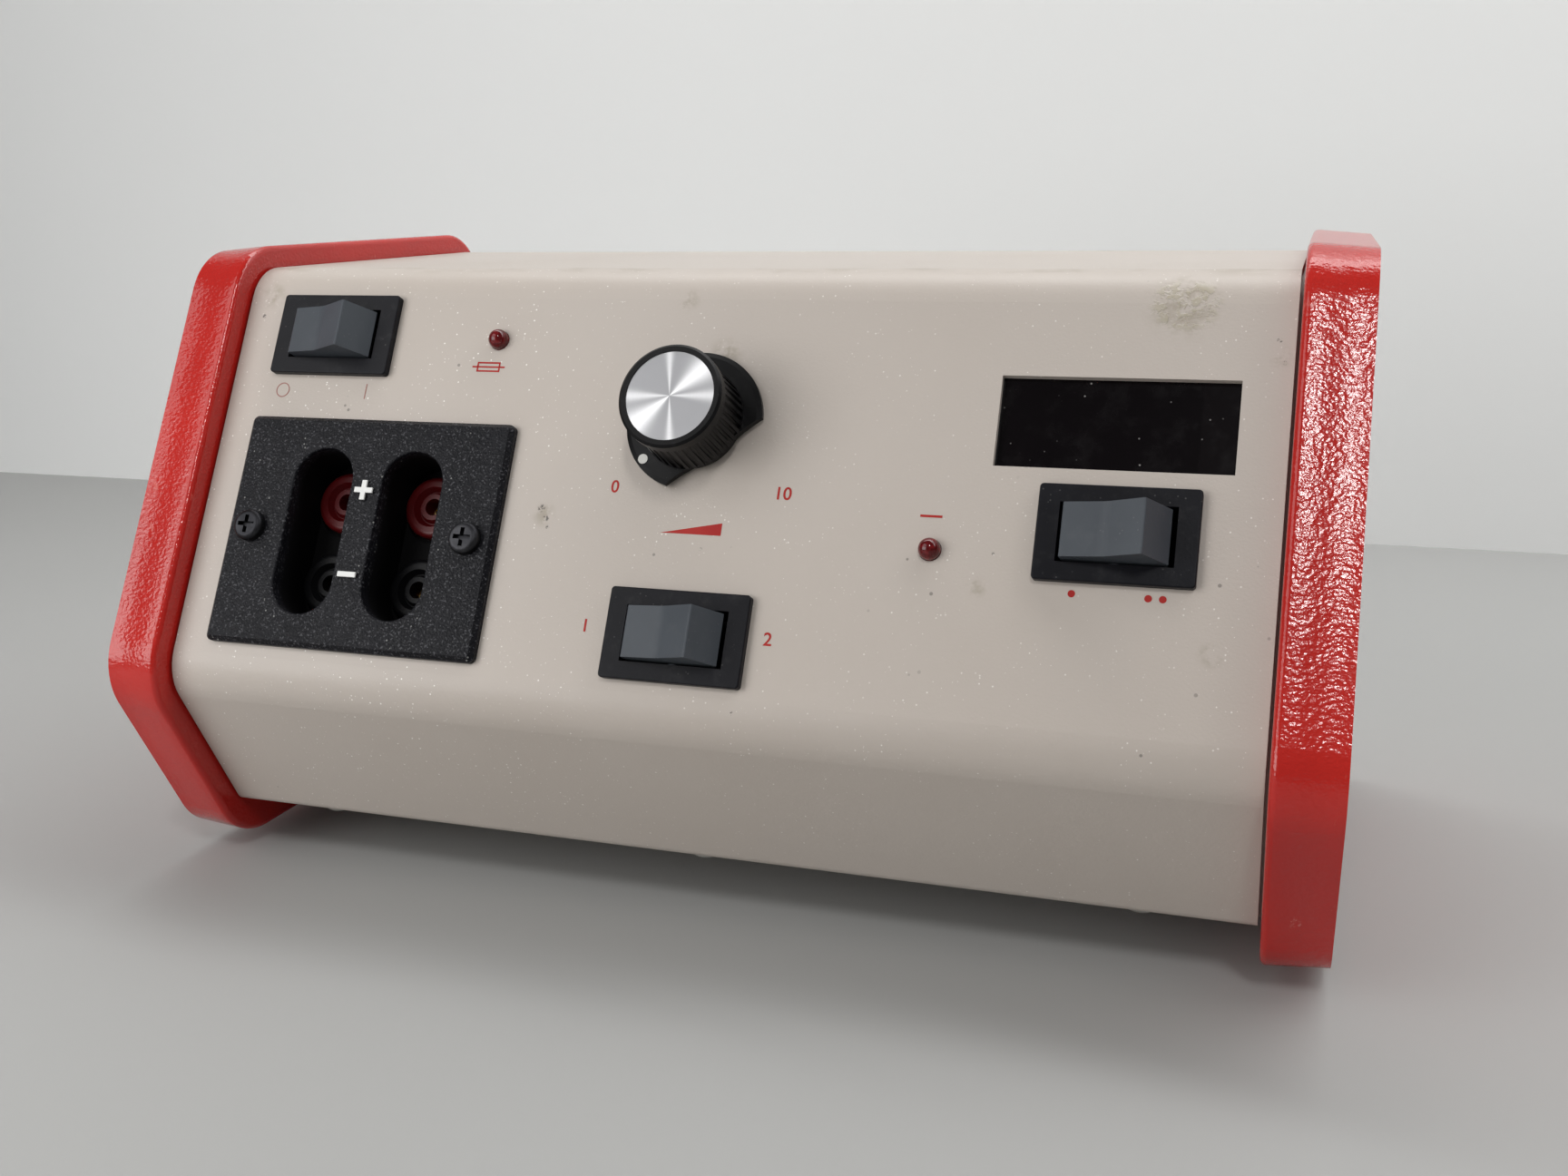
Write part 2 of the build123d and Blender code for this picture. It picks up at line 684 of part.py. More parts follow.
def switch_housing():
    """Bezel and body in one moulding, snapped into the panel."""
    bezel = Pos(0, 0, BEZEL_RISE / 2) * Box(BEZEL_LENGTH, BEZEL_HEIGHT, BEZEL_RISE)
    bezel = fillet(bezel.edges().filter_by(Axis.Z), BEZEL_CORNER_R)
    bezel = fillet(bezel.edges().group_by(Axis.Z)[-1], BEZEL_EDGE_R)
    body = Pos(0, 0, -SWITCH_DEPTH / 2) * Box(SWITCH_LENGTH, SWITCH_HEIGHT, SWITCH_DEPTH)
    housing = bezel + body
    for side in (-1, 1):
        edge = side * SWITCH_LENGTH / 2
        wedge = Polyline((edge, 0, -COVER_SHEET), (edge + side * WEDGE_RISE, 0, -COVER_SHEET),
                         (edge, 0, -COVER_SHEET - WEDGE_DEPTH), close=True)
        housing += extrude(make_face(wedge), WEDGE_HEIGHT / 2, both=True)
    well_depth = BEZEL_RISE + WELL_FLOOR
    well = Pos(0, 0, BEZEL_RISE - well_depth / 2) * Box(WELL_LENGTH, WELL_HEIGHT, well_depth)
    housing -= well
    housing -= Pos(0, 0, PIVOT_W) * Rot(90, 0, 0) * Cylinder(PIVOT_R + PIVOT_CLEAR, SWITCH_HEIGHT + 1)
    return housing


def rocker():
    """Rocker with a shallow valley between two ridges, at rest with its left end pressed in."""
    right = [ROCKER_RIDGE, ROCKER_END, ROCKER_KEEL]
    left = [(-x, rise) for x, rise in reversed(right)]
    radii = [ROCKER_VALLEY_R, ROCKER_EDGE_R, 0, 0, 0, 0, ROCKER_EDGE_R]
    side = Plane.XZ * rounded_face([(0, ROCKER_VALLEY)] + right + left, radii)
    paddle = extrude(side, ROCKER_HEIGHT / 2, both=True)
    pin = Rot(90, 0, 0) * Cylinder(PIVOT_R, ROCKER_HEIGHT + 2 * PIVOT_LENGTH)
    return Pos(0, 0, PIVOT_W) * Rot(0, -ROCKER_TILT, 0) * (paddle + pin)


def switch_tabs():
    """Three push-on terminals behind the switch."""
    tab = Pos(0, 0, -SWITCH_DEPTH - TAB_LENGTH / 2) * Box(TAB_THICK, TAB_WIDTH, TAB_LENGTH)
    return group([Pos(step * TAB_PITCH, 0, 0) * tab for step in (-1, 0, 1)])


# Lamps

def lamp():
    """Domed indicator with its flange and two leads."""
    shell = rod(LAMP_R, -LAMP_DEPTH, LAMP_TOP - LAMP_R) + Pos(0, 0, LAMP_TOP - LAMP_R) * Sphere(LAMP_R)
    shell += rod(LAMP_FLANGE_R, -LAMP_DEPTH - LAMP_FLANGE_H, -LAMP_DEPTH)
    low = -LAMP_DEPTH - LAMP_FLANGE_H - LAMP_LEAD_LENGTH
    for side in (-1, 1):
        shell += rod(LAMP_LEAD_R, low, -LAMP_DEPTH, side * LAMP_LEAD_PITCH / 2)
    return shell


def lamp_clips():
    """Retaining rings behind the panel."""
    ring = rod(LAMP_CLIP_R, -COVER_SHEET - LAMP_CLIP_H, -COVER_SHEET)
    ring -= rod(LAMP_R + THREAD_CLEAR, -LAMP_DEPTH, 0)
    return group([on_panel(spot, ring) for spot in LAMP_SPOTS.values()])


# Voltage knob

def skirt_gap():
    """The part of the skirt that is cut back to the knob's body, with a hollowed edge at each end."""
    start = math.radians(SKIRT_GAP_START)
    end = math.radians(SKIRT_GAP_END)
    middle = (start + end) / 2
    far = 2 * SKIRT_R

    def at(angle, radius):
        return (radius * math.cos(angle), radius * math.sin(angle))

    inner = KNOB_BODY_R * GAP_DEPTH
    ease = math.radians(GAP_EASE)
    hollow = ease * GAP_HOLLOW
    shoulder = (inner + SKIRT_R) / 2
    near_start = at(start + ease, inner)
    near_end = at(end - ease, inner)
    edge = [
        ThreePointArc(at(start, SKIRT_R), at(start + hollow, shoulder), near_start),
        ThreePointArc(near_start, at(middle, inner), near_end),
        ThreePointArc(near_end, at(end - hollow, shoulder), at(end, SKIRT_R)),
        Polyline(at(end, SKIRT_R), at(end, far), at(middle, far), at(start, far), at(start, SKIRT_R)),
    ]
    gap = extrude(make_face(edge), SKIRT_THICK + 1)
    return Pos(0, 0, SKIRT_LOW - 0.5) * gap


def dot_place():
    angle = math.radians(DOT_ANGLE)
    return DOT_REACH * math.cos(angle), DOT_REACH * math.sin(angle)


def knob_body():
    """Fluted grip on a wide thin skirt, with a dished top for the metal disc."""
    skirt_top = SKIRT_LOW + SKIRT_THICK
    profile = [(0, SKIRT_LOW), (SKIRT_R, SKIRT_LOW),
               (SKIRT_R, skirt_top - 0.6), (SKIRT_R - 1.2, skirt_top),
               (KNOB_BODY_R + 0.6, skirt_top + 0.2), (KNOB_BODY_R, KNOB_NECK), (KNOB_RING_R, KNOB_NECK + 0.5),
               (KNOB_RING_R, KNOB_TOP - 0.5), (KNOB_RING_R - 0.6, KNOB_TOP),
               (CAP_R + THREAD_CLEAR, KNOB_TOP), (CAP_R + THREAD_CLEAR, KNOB_TOP - CAP_DROP - CAP_SHEET),
               (0, KNOB_TOP - CAP_DROP - CAP_SHEET)]
    knob = spun(profile)
    knob -= skirt_gap()
    flute = rod(FLUTE_R, skirt_top + 0.5, KNOB_NECK, KNOB_BODY_R + 0.35)
    flutes = [Rot(0, 0, number * 360 / KNOB_FLUTES) * flute for number in range(KNOB_FLUTES)]
    knob -= Compound(children=flutes)
    knob -= rod(KNOB_HOLLOW_R, 0, KNOB_HOLLOW_TOP)
    knob -= rod(SHAFT_R + THREAD_CLEAR, 0, SHAFT_TOP + 0.2)
    dot_x, dot_y = dot_place()
    knob -= rod(DOT_R + THREAD_CLEAR, skirt_top - DOT_SINK, skirt_top + 1, dot_x, dot_y)
    return knob - set_screw_hole(SET_SCREW_R + THREAD_CLEAR)


def set_screw_z():
    return (KNOB_HOLLOW_TOP + SHAFT_TOP) / 2 + 0.5


def set_screw_hole(radius):
    """Radial hole from the shaft to the grip, on the side away from the pointer."""
    reach = KNOB_BODY_R - 1.2 - SHAFT_R
    start = SHAFT_R + THREAD_CLEAR + reach / 2
    hole = Rot(0, 90, 0) * Cylinder(radius, reach + 2)
    return Pos(0, 0, set_screw_z()) * Rot(0, 0, DOT_ANGLE - 180) * Pos(start, 0, 0) * hole


def knob_set_screw():
    """Grub screw that clamps the knob to its shaft."""
    length = 5.0
    start = SHAFT_R + THREAD_CLEAR + length / 2
    turn = Rot(0, 0, DOT_ANGLE - 180)
    screw = Rot(0, 90, 0) * Cylinder(SET_SCREW_R, length)
    return Pos(0, 0, set_screw_z()) * turn * Pos(start, 0, 0) * screw


def knob_disc():
    """Spun metal disc let into the knob's top."""
    return rod(CAP_R, KNOB_TOP - CAP_DROP - CAP_SHEET, KNOB_TOP - CAP_DROP)


def pointer_dot():
    """White pointer dot let into the skirt."""
    dot_x, dot_y = dot_place()
    skirt_top = SKIRT_LOW + SKIRT_THICK
    return rod(DOT_R, skirt_top - DOT_SINK, skirt_top + 0.05, dot_x, dot_y)


def pot_shaft():
    """Quarter-inch shaft from the potentiometer to the knob."""
    return rod(SHAFT_R, -COVER_SHEET - POT_DEPTH + 2.0, SHAFT_TOP)


def pot_body():
    """Potentiometer can, bush and solder lugs behind the panel."""
    back = -COVER_SHEET - POT_DEPTH
    body = rod(POT_R, back, -COVER_SHEET) + rod(BUSH_R, -COVER_SHEET, BUSH_TOP)
    body -= rod(SHAFT_R + SHAFT_CLEAR, back + 1.6, BUSH_TOP + 1)
    width, thick, length = POT_LUG
    for step in (-1, 0, 1):
        lug = Box(width, length, thick)
        body += Pos(step * POT_LUG_PITCH, -POT_R - length / 2 + 1.5, back + POT_DEPTH / 2) * lug
    return body


# Readout

def filter_back():
    return -COVER_SHEET - FILTER_SHEET


def display_filter():
    """Dark window behind the opening in the panel."""
    length = WINDOW_LENGTH + 2 * FILTER_LAP
    height = WINDOW_HEIGHT + 2 * FILTER_LAP
    return Pos(0, 0, filter_back() + FILTER_SHEET / 2) * Box(length, height, FILTER_SHEET)


def display_digits():
    """Four seven-segment modules side by side."""
    front = filter_back() - DIGIT_GAP
    module = Pos(0, 0, front - DIGIT_DEPTH / 2) * Box(DIGIT_WIDTH, DIGIT_HEIGHT, DIGIT_DEPTH)
    middle = (DIGIT_COUNT - 1) / 2
    return group([Pos((number - middle) * DIGIT_PITCH, 0, 0) * module for number in range(DIGIT_COUNT)])


def readout_board_front():
    return filter_back() - DIGIT_GAP - DIGIT_DEPTH


def pillar_spots():
    reach_x = READOUT_BOARD_LENGTH / 2 - PILLAR_INSET
    reach_y = READOUT_BOARD_HEIGHT / 2 - PILLAR_INSET
    return [(sx * reach_x, sy * reach_y) for sx in (-1, 1) for sy in (-1, 1)]


def display_board():
    """Circuit board behind the digits."""
    front = readout_board_front()
    board = Box(READOUT_BOARD_LENGTH, READOUT_BOARD_HEIGHT, BOARD_SHEET)
    board = Pos(0, 0, front - BOARD_SHEET / 2) * board
    for x, y in pillar_spots():
        board -= rod(M3_R + HOLE_CLEAR, front - BOARD_SHEET - 1, front + 1, x, y)
    return board


def display_pillars():
    """Threaded pillars from the panel to the board, and the screws that hold the board on them."""
    front = readout_board_front()
    depth = 6.0
    pillars = []
    screws = []
    for x, y in pillar_spots():
        bore = rod(M3_R + THREAD_CLEAR, front - 1, front + depth + 0.5, x, y)
        pillars.append(rod(PILLAR_R, front, -COVER_SHEET, x, y) - bore)
        screws.append(Pos(x, y, front - BOARD_SHEET) * Rot(180, 0, 0) * m3_screw(BOARD_SHEET + depth))
    return group(pillars + screws)


# Output terminals

def block_back_size():
    """Length and height of the moulding's box behind the panel."""
    length = SLOT_PITCH + SLOT_WIDTH + 2 * BLOCK_WALL
    height = SLOT_LENGTH + 2 * BLOCK_WALL
    return length, height


def slot_floor():
    return BLOCK_RISE - SLOT_DEPTH


def slot_prism(low, high, x):
    """Upright round-ended prism at one of the two slots."""
    shape = extrude(SlotOverall(SLOT_LENGTH, SLOT_WIDTH, rotation=90), high - low)
    return Pos(x, 0, low) * shape


def terminal_block():
    """Moulded plate with two deep slots, a plus and a minus."""
    plate = Pos(0, 0, BLOCK_RISE / 2) * Box(BLOCK_LENGTH, BLOCK_HEIGHT, BLOCK_RISE)
    plate = fillet(plate.edges().filter_by(Axis.Z), BLOCK_CORNER_R)
    plate = chamfer(plate.edges().group_by(Axis.Z)[-1], BLOCK_CHAMFER)
    back = slot_floor() - SLOT_FLOOR
    length, height = block_back_size()
    moulding = plate + Pos(0, 0, back / 2) * Box(length, height, -back)
    for side in (-1, 1):
        moulding -= slot_prism(slot_floor(), BLOCK_RISE + 1, side * SLOT_PITCH / 2)
    rims = [edge for edge in moulding.edges().group_by(Axis.Z)[-1] if inside_plate(edge)]
    moulding = fillet(rims, SLOT_LIP_R)
    for x, y in socket_spots().values():
        moulding -= rod(SOCKET_SHANK_R + HOLE_CLEAR, back - 1, slot_floor() + 1, x, y)
    for side in (-1, 1):
        moulding -= rod(M4_R + HOLE_CLEAR, -1, BLOCK_RISE + 1, side * BLOCK_SCREW_REACH)
    bar = Box(SIGN_LENGTH, SIGN_BAR, SIGN_RISE)
    high = Pos(0, SOCKET_PITCH / 2, BLOCK_RISE + SIGN_RISE / 2)
    low = Pos(0, -SOCKET_PITCH / 2, BLOCK_RISE + SIGN_RISE / 2)
    moulding += high * bar + high * Box(SIGN_BAR, SIGN_LENGTH, SIGN_RISE) + low * bar
    return moulding


def inside_plate(edge):
    """True for the rim of a slot, false for the plate's own border."""
    centre = edge.bounding_box()
    return max(abs(centre.min.X), abs(centre.max.X)) < SLOT_PITCH


def socket_spots():
    """Places of the four sockets, red above black in each slot."""
    spots = {}
    for name, x in (("left", -SLOT_PITCH / 2), ("right", SLOT_PITCH / 2)):
        spots[name + "_red_socket"] = (x, SOCKET_PITCH / 2)
        spots[name + "_black_socket"] = (x, -SOCKET_PITCH / 2)
    return spots


def socket_body():
    """Socket moulding: a rounded rim, a dished face, a centre boss and a threaded shank."""
    floor = slot_floor()
    rim = floor + SOCKET_RIM
    dish = floor + SOCKET_DISH
    body = rod(SOCKET_R, floor, rim)
    body = fillet(body.edges().group_by(Axis.Z)[-1], SOCKET_RING_R)
    ring_in = SOCKET_R - 2 * SOCKET_RING_R
    body -= spun([(SOCKET_BOSS_R + 0.2, dish), (ring_in - 0.9, dish), (ring_in + 0.4, rim + 0.5),
                  (0, rim + 0.5), (0, floor + SOCKET_BOSS), (SOCKET_BOSS_R - 0.5, floor + SOCKET_BOSS)])
    body += rod(SOCKET_SHANK_R, floor - SOCKET_SHANK, floor)
    body -= rod(CONTACT_R + CONTACT_FIT, floor - SOCKET_SHANK - 1, contact_top())
    body -= rod(SOCKET_MOUTH_R, floor - SOCKET_SHANK, rim + 1)
    return body


def contact_top():
    return slot_floor() + SOCKET_BOSS - SOCKET_MOUTH


def contact_tube():
    """Metal tube in the socket, bored for a 4 mm plug, with a solder tail."""
    floor = slot_floor()
    top = contact_top()
    low = floor - SOCKET_SHANK - CONTACT_TAIL
    return rod(CONTACT_R, low, top) - rod(CONTACT_BORE_R, low + CONTACT_TAIL, top + 1)


def socket_nut():
    low = slot_floor() - SLOT_FLOOR - SOCKET_NUT_H
    return Pos(0, 0, low) * hex_nut(SOCKET_NUT_FLATS, SOCKET_NUT_H, SOCKET_SHANK_R)


def in_block(spot, shape):
    return on_panel((BLOCK_SPOT[0] + spot[0], BLOCK_SPOT[1] + spot[1]), shape)


def block_fasteners():
    """Two screws through the moulding and the panel, with nuts behind."""
    length = BLOCK_RISE + COVER_SHEET + M4_NUT_H + NUT_STANDOUT
    screws = []
    nuts = []
    for side in (-1, 1):
        spot = (side * BLOCK_SCREW_REACH, 0)
        screws.append(in_block(spot, Pos(0, 0, BLOCK_RISE) * m4_screw(length)))
        nut = Pos(0, 0, -COVER_SHEET - M4_NUT_H) * hex_nut(M4_NUT_FLATS, M4_NUT_H, M4_R)
        nuts.append(in_block(spot, nut))
    return group(screws), group(nuts)


# Mains inlet

def inlet_body():
    """Flanged inlet with a keyed well."""
    length, height, thick = INLET_FLANGE
    flange = Pos(0, 0, thick / 2) * Box(length, height, thick)
    flange = fillet(flange.edges().filter_by(Axis.Z), INLET_FLANGE_R)
    body_length, body_height, body_depth = INLET_BODY
    body = flange + Pos(0, 0, -body_depth / 2) * Box(body_length, body_height, body_depth)
    well_length, well_height, well_depth = INLET_WELL
    well = Pos(0, 0, thick - well_depth / 2) * Box(well_length, well_height, well_depth)
    upper = well.edges().filter_by(Axis.Z).group_by(Axis.Y)[-1]
    body -= chamfer(upper, INLET_WELL_CUT)
    for side in (-1, 1):
        body -= rod(M3_R + HOLE_CLEAR, -1, thick + 1, side * INLET_SCREW_REACH)
    width, tall, _ = INLET_PIN
    for x, y in inlet_pin_spots():
        body -= Pos(x, y, thick - well_depth) * Box(width, tall, 4 * body_depth)
    return body


def inlet_pin_spots():
    rise = INLET_PIN_RISE / 2
    return [(-INLET_PIN_REACH, -rise), (INLET_PIN_REACH, -rise), (0, rise)]


def inlet_pins():
    """Three blades with push-on tabs behind."""
    width, tall, reach = INLET_PIN
    thick = INLET_FLANGE[2]
    floor = thick - INLET_WELL[2]
    back = -INLET_BODY[2]
    tab_width, tab_thick, tab_length = INLET_TAB
    pins = []
    for x, y in inlet_pin_spots():
        blade = block(x - width / 2, x + width / 2, y - tall / 2, y + tall / 2, back, floor + reach)
        tab = Pos(x, y, back - tab_length / 2) * Box(tab_thick, min(tab_width, tall), tab_length)
        pins.append(blade + tab)
    return group(pins)


def inlet_fasteners():
    """Two screws and nuts that hold the inlet."""
    thick = INLET_FLANGE[2]
    length = thick + TRAY_SHEET + M3_NUT_H + NUT_STANDOUT
    pieces = []
    for side in (-1, 1):
        place = Pos(side * INLET_SCREW_REACH, 0, 0)
        pieces.append(place * Pos(0, 0, thick) * m3_screw(length))
        pieces.append(place * Pos(0, 0, -TRAY_SHEET - M3_NUT_H) * hex_nut(M3_NUT_FLATS, M3_NUT_H, M3_R))
    return group(pieces)


# Fuse holder

def fuse_holder():
    """Round holder with a flange outside and a bore for the cap and the fuse."""
    holder = rod(HOLDER_FLANGE_R, 0, HOLDER_FLANGE_H) + rod(HOLDER_R, -HOLDER_DEPTH, 0)
    holder = fillet(holder.edges().group_by(Axis.Z)[-1], 0.6)
    mouth = HOLDER_FLANGE_H - HOLDER_MOUTH_DEPTH
    holder -= rod(HOLDER_BORE_R, mouth, HOLDER_FLANGE_H + 1)
    holder -= rod(HOLDER_TUBE_R, -HOLDER_DEPTH + 2.0, mouth + 1)
    return holder


def holder_nut():
    low = -TRAY_SHEET - HOLDER_NUT_H
    return Pos(0, 0, low) * hex_nut(HOLDER_NUT_FLATS, HOLDER_NUT_H, HOLDER_R)


def fuse_cap_low():
    return HOLDER_FLANGE_H + FUSE_CAP_GAP


def fuse_cap():
    """Ribbed bayonet cap with a coin slot and a neck that grips the fuse."""
    low = fuse_cap_low()
    top = low + FUSE_CAP_H
    cap = fillet(rod(FUSE_CAP_R, low, top).edges().group_by(Axis.Z)[-1], 0.8)
    rib = rod(0.5, low + 1.0, top + 1, FUSE_CAP_R + 0.15)
    ribs = [Rot(0, 0, number * 360 / FUSE_CAP_RIBS) * rib for number in range(FUSE_CAP_RIBS)]
    cap -= Compound(children=ribs)
    slot_width, slot_depth = FUSE_SLOT
    cap -= Pos(0, 0, top - slot_depth / 2) * Box(2 * FUSE_CAP_R * 0.7, slot_width, slot_depth)
    cap += rod(HOLDER_BORE_R - SHAFT_CLEAR, low - FUSE_NECK, low)
    return cap - rod(FUSE_R + FUSE_FIT, low - FUSE_NECK - 1, low - FUSE_NECK + FUSE_SEAT)


def fuse_cartridge():
    """Glass fuse with its end caps, held in the cap's neck."""
    top = fuse_cap_low() - FUSE_NECK + FUSE_SEAT
    return rod(FUSE_R, top - FUSE_LENGTH, top)


# Transformer

def core_low():
    return FLOOR_Z + BRACKET_SHEET


def transformer_core():
    """Laminated core with two windows."""
    length, depth, height = CORE
    core = Pos(0, 0, height / 2) * Box(length, depth, height)
    window = length / 2 - CORE_LEG - CORE_LEG
    middle = CORE_LEG + window / 2
    for side in (-1, 1):
        core -= Pos(side * middle, 0, height / 2) * Box(window, depth + 2, height - 2 * CORE_BRIDGE)
    for x, z in core_bolt_spots():
        core -= Pos(x, 0, z) * Rot(90, 0, 0) * Cylinder(M4_R + HOLE_CLEAR, depth + 2)
    return core


def core_bolt_spots():
    length, _, height = CORE
    reach = length / 2 - CORE_BOLT_INSET
    return [(side * reach, z) for side in (-1, 1) for z in (CORE_BOLT_INSET, height - CORE_BOLT_INSET)]


def transformer_coil():
    """Winding round the middle leg, bulging out in front and behind."""
    length, depth, height = CORE
    window = length / 2 - 2 * CORE_LEG
    half = CORE_LEG + window - COIL_FIT
    tall = height - 2 * CORE_BRIDGE - 2 * COIL_FIT
    coil = Pos(0, 0, height / 2) * Box(2 * half, depth + 2 * COIL_BULGE, tall)
    coil = fillet(coil.edges().filter_by(Axis.Z), COIL_EDGE_R)
    leg = Pos(0, 0, height / 2) * Box(2 * (CORE_LEG + COIL_FIT), depth + 2 * COIL_FIT, height)
    return coil - leg


def transformer_brackets():
    """Two angles that carry the core on the tray's floor."""
    length, depth, _ = CORE
    angles = []
    for side in (-1, 1):
        near = side * depth / 2
        far = side * (depth / 2 + BRACKET_SHEET)
        toe = side * (depth / 2 + BRACKET_FOOT)
        low, high = sorted((near, far))
        upright = block(-length / 2, length / 2, low, high, -BRACKET_SHEET, BRACKET_RISE)
        low, high = sorted((side * BRACKET_MID_GAP, toe))
        foot = block(-length / 2, length / 2, low, high, -BRACKET_SHEET, 0)
        angle = upright + foot
        for x, z in core_bolt_spots():
            if z < BRACKET_RISE:
                angle -= Pos(x, near, z) * Rot(90, 0, 0) * Cylinder(M4_R + HOLE_CLEAR, 4 * BRACKET_FOOT)
        for x in (-CORE_LEG, CORE_LEG):
            angle -= rod(M4_R + HOLE_CLEAR, -2 * BRACKET_SHEET, 1, x, side * bracket_screw_reach())
        angles.append(angle)
    return group(angles)


def bracket_screw_reach():
    return CORE[1] / 2 + (BRACKET_FOOT + BRACKET_SHEET) / 2


def bracket_screw_spots():
    """Places on the tray's floor under the bracket feet."""
    spots = []
    for side in (-1, 1):
        for x in (-CORE_LEG, CORE_LEG):
            spots.append((CORE_X + x, CORE_Y + side * bracket_screw_reach()))
    return spots


def transformer_bolts():
    """Through bolts with nuts, and the screws that hold the brackets to the tray."""
    depth = CORE[1]
    pieces = []
    for x, z in core_bolt_spots():
        extra = BRACKET_SHEET if z < BRACKET_RISE else 0.0
        grip = depth + 2 * extra
        bolt = m4_screw(grip + M4_NUT_H + NUT_STANDOUT)
        pieces.append(Pos(x, -grip / 2, z) * Rot(90, 0, 0) * bolt)
        nut = Rot(-90, 0, 0) * hex_nut(M4_NUT_FLATS, M4_NUT_H, M4_R)
        pieces.append(Pos(x, grip / 2, z) * nut)
    bolts = [Pos(CORE_X, CORE_Y, core_low()) * piece for piece in pieces]
    length = BRACKET_SHEET + TRAY_SHEET + NUT_STANDOUT
    for x, y in bracket_screw_spots():
        bolts.append(Pos(x, y, core_low()) * m4_screw(length))
    return group(bolts)


# Main board

def standoff_spots():
    ends = (BOARD_LEFT_X + STANDOFF_INSET, BOARD_RIGHT_X - STANDOFF_INSET)
    sides = (BOARD_FRONT_Y + STANDOFF_INSET, BOARD_REAR_Y - STANDOFF_INSET)
    return [(x, y) for x in ends for y in sides]


def main_board():
    """Circuit board on four standoffs."""
    low = FLOOR_Z + STANDOFF_H
    board = block(BOARD_LEFT_X, BOARD_RIGHT_X, BOARD_FRONT_Y, BOARD_REAR_Y, low, BOARD_TOP_Z)
    for x, y in standoff_spots():
        board -= rod(M3_R + HOLE_CLEAR, low - 1, low + BOARD_SHEET + 1, x, y)
    return board


def board_standoffs():
    """Standoffs between the tray and the board, with a screw into each end."""
    depth = STANDOFF_H / 2 - 0.5
    pieces = []
    for x, y in standoff_spots():
        post = rod(STANDOFF_R, FLOOR_Z, FLOOR_Z + STANDOFF_H, x, y)
        post -= rod(M3_R + THREAD_CLEAR, FLOOR_Z - 1, FLOOR_Z + STANDOFF_H + 1, x, y)
        pieces.append(post)
        pieces.append(Pos(x, y, BOARD_TOP_Z) * m3_screw(BOARD_SHEET + depth))
        pieces.append(Pos(x, y, TRAY_Z) * Rot(180, 0, 0) * m3_screw(TRAY_SHEET + depth))
    return group(pieces)


def reservoir_capacitors():
    """Tall electrolytic cans on the board."""
    can = rod(CAPACITOR_R, 0, CAPACITOR_H)
    can = fillet(can.edges().group_by(Axis.Z)[-1], CAPACITOR_EDGE_R)
    first = BOARD_LEFT_X + CAPACITOR_INSET[0]
    return group([Pos(x, CAPACITOR_Y, BOARD_TOP_Z) * can for x in (first, first + CAPACITOR_PITCH)])


def heat_sink():
    """Finned extrusion standing on the board."""
    length = SINK_RIGHT_X - SINK_LEFT_X
    sink = block(-length / 2, length / 2, -SINK_WEB, 0, 0, SINK_HEIGHT)
    for number in range(SINK_FINS):
        x = (number / (SINK_FINS - 1) - 0.5) * (length - SINK_FIN)
        sink += block(x - SINK_FIN / 2, x + SINK_FIN / 2, -1, SINK_DEPTH - SINK_WEB, 0, SINK_HEIGHT)
    return Pos(SINK_SPOT[0], SINK_SPOT[1], BOARD_TOP_Z) * sink


def power_transistors():
    """Two transistors against the web of the heat sink, standing on their legs."""
    width, thick, height = TRANSISTOR
    pieces = []
    for side in (-1, 1):
        case = block(-width / 2, width / 2, -thick, 0, TRANSISTOR_RISE, TRANSISTOR_RISE + height)
        for leg in (-1, 0, 1):
            pin = Box(TRANSISTOR_LEG[0], TRANSISTOR_LEG[1], TRANSISTOR_RISE)
            case += Pos(leg * TRANSISTOR_LEG_PITCH, -thick / 2, TRANSISTOR_RISE / 2) * pin
        place = Pos(SINK_SPOT[0] + side * TRANSISTOR_PITCH / 2, SINK_SPOT[1] - SINK_WEB, BOARD_TOP_Z)
        pieces.append(place * case)
    return group(pieces)


def board_header():
    """Connector block that the readout lead plugs into."""
    length, depth, height = HEADER
    x, y = HEADER_SPOT
    return Pos(x, y, BOARD_TOP_Z + height / 2) * Box(length, depth, height)


# Readout lead

def readout_plug_place():
    """Where the lead's plug sits behind the readout board, as a place in the panel plane."""
    x = WINDOW_SPOT[0] - READOUT_BOARD_LENGTH / 2 + LEAD_PLUG[0]
    return x, WINDOW_SPOT[1], readout_board_front() - BOARD_SHEET


def readout_plug():
    """Plug on the back of the readout board."""
    x, y, z = readout_plug_place()
    length, height, depth = LEAD_PLUG
    return PANEL * Pos(x, y, z - depth / 2) * Box(length, height, depth)


def lead_points():
    """Route of the lead, from the header up and across to the plug."""
    x, y, z = readout_plug_place()
    end = PANEL * Pos(x, y, z - LEAD_PLUG[2])
    tail = PANEL * Pos(x, y, z - LEAD_PLUG[2] - LEAD_TAIL)
    turn = PANEL * Pos(x - LEAD_TURN[0], y - LEAD_TURN[1], z - LEAD_PLUG[2] - LEAD_TURN[2])
    start_z = BOARD_TOP_Z + HEADER[2]
    start = Vector(HEADER_SPOT[0], HEADER_SPOT[1], start_z)
    rise = Vector(HEADER_SPOT[0], HEADER_SPOT[1], start_z + LEAD_RISE)
    climb = start + Vector(*LEAD_CLIMB)
    return [start, rise, climb, turn.position, tail.position, end.position]


def lead_radii(points):
    """Largest arc that the two runs at each corner allow."""
    radii = []
    for before, corner, after in zip(points, points[1:], points[2:]):
        first = corner - before
        second = after - corner
        half = math.radians(first.get_angle(second)) / 2
        radii.append(0.45 * min(first.length, second.length) / math.tan(half))
    return radii


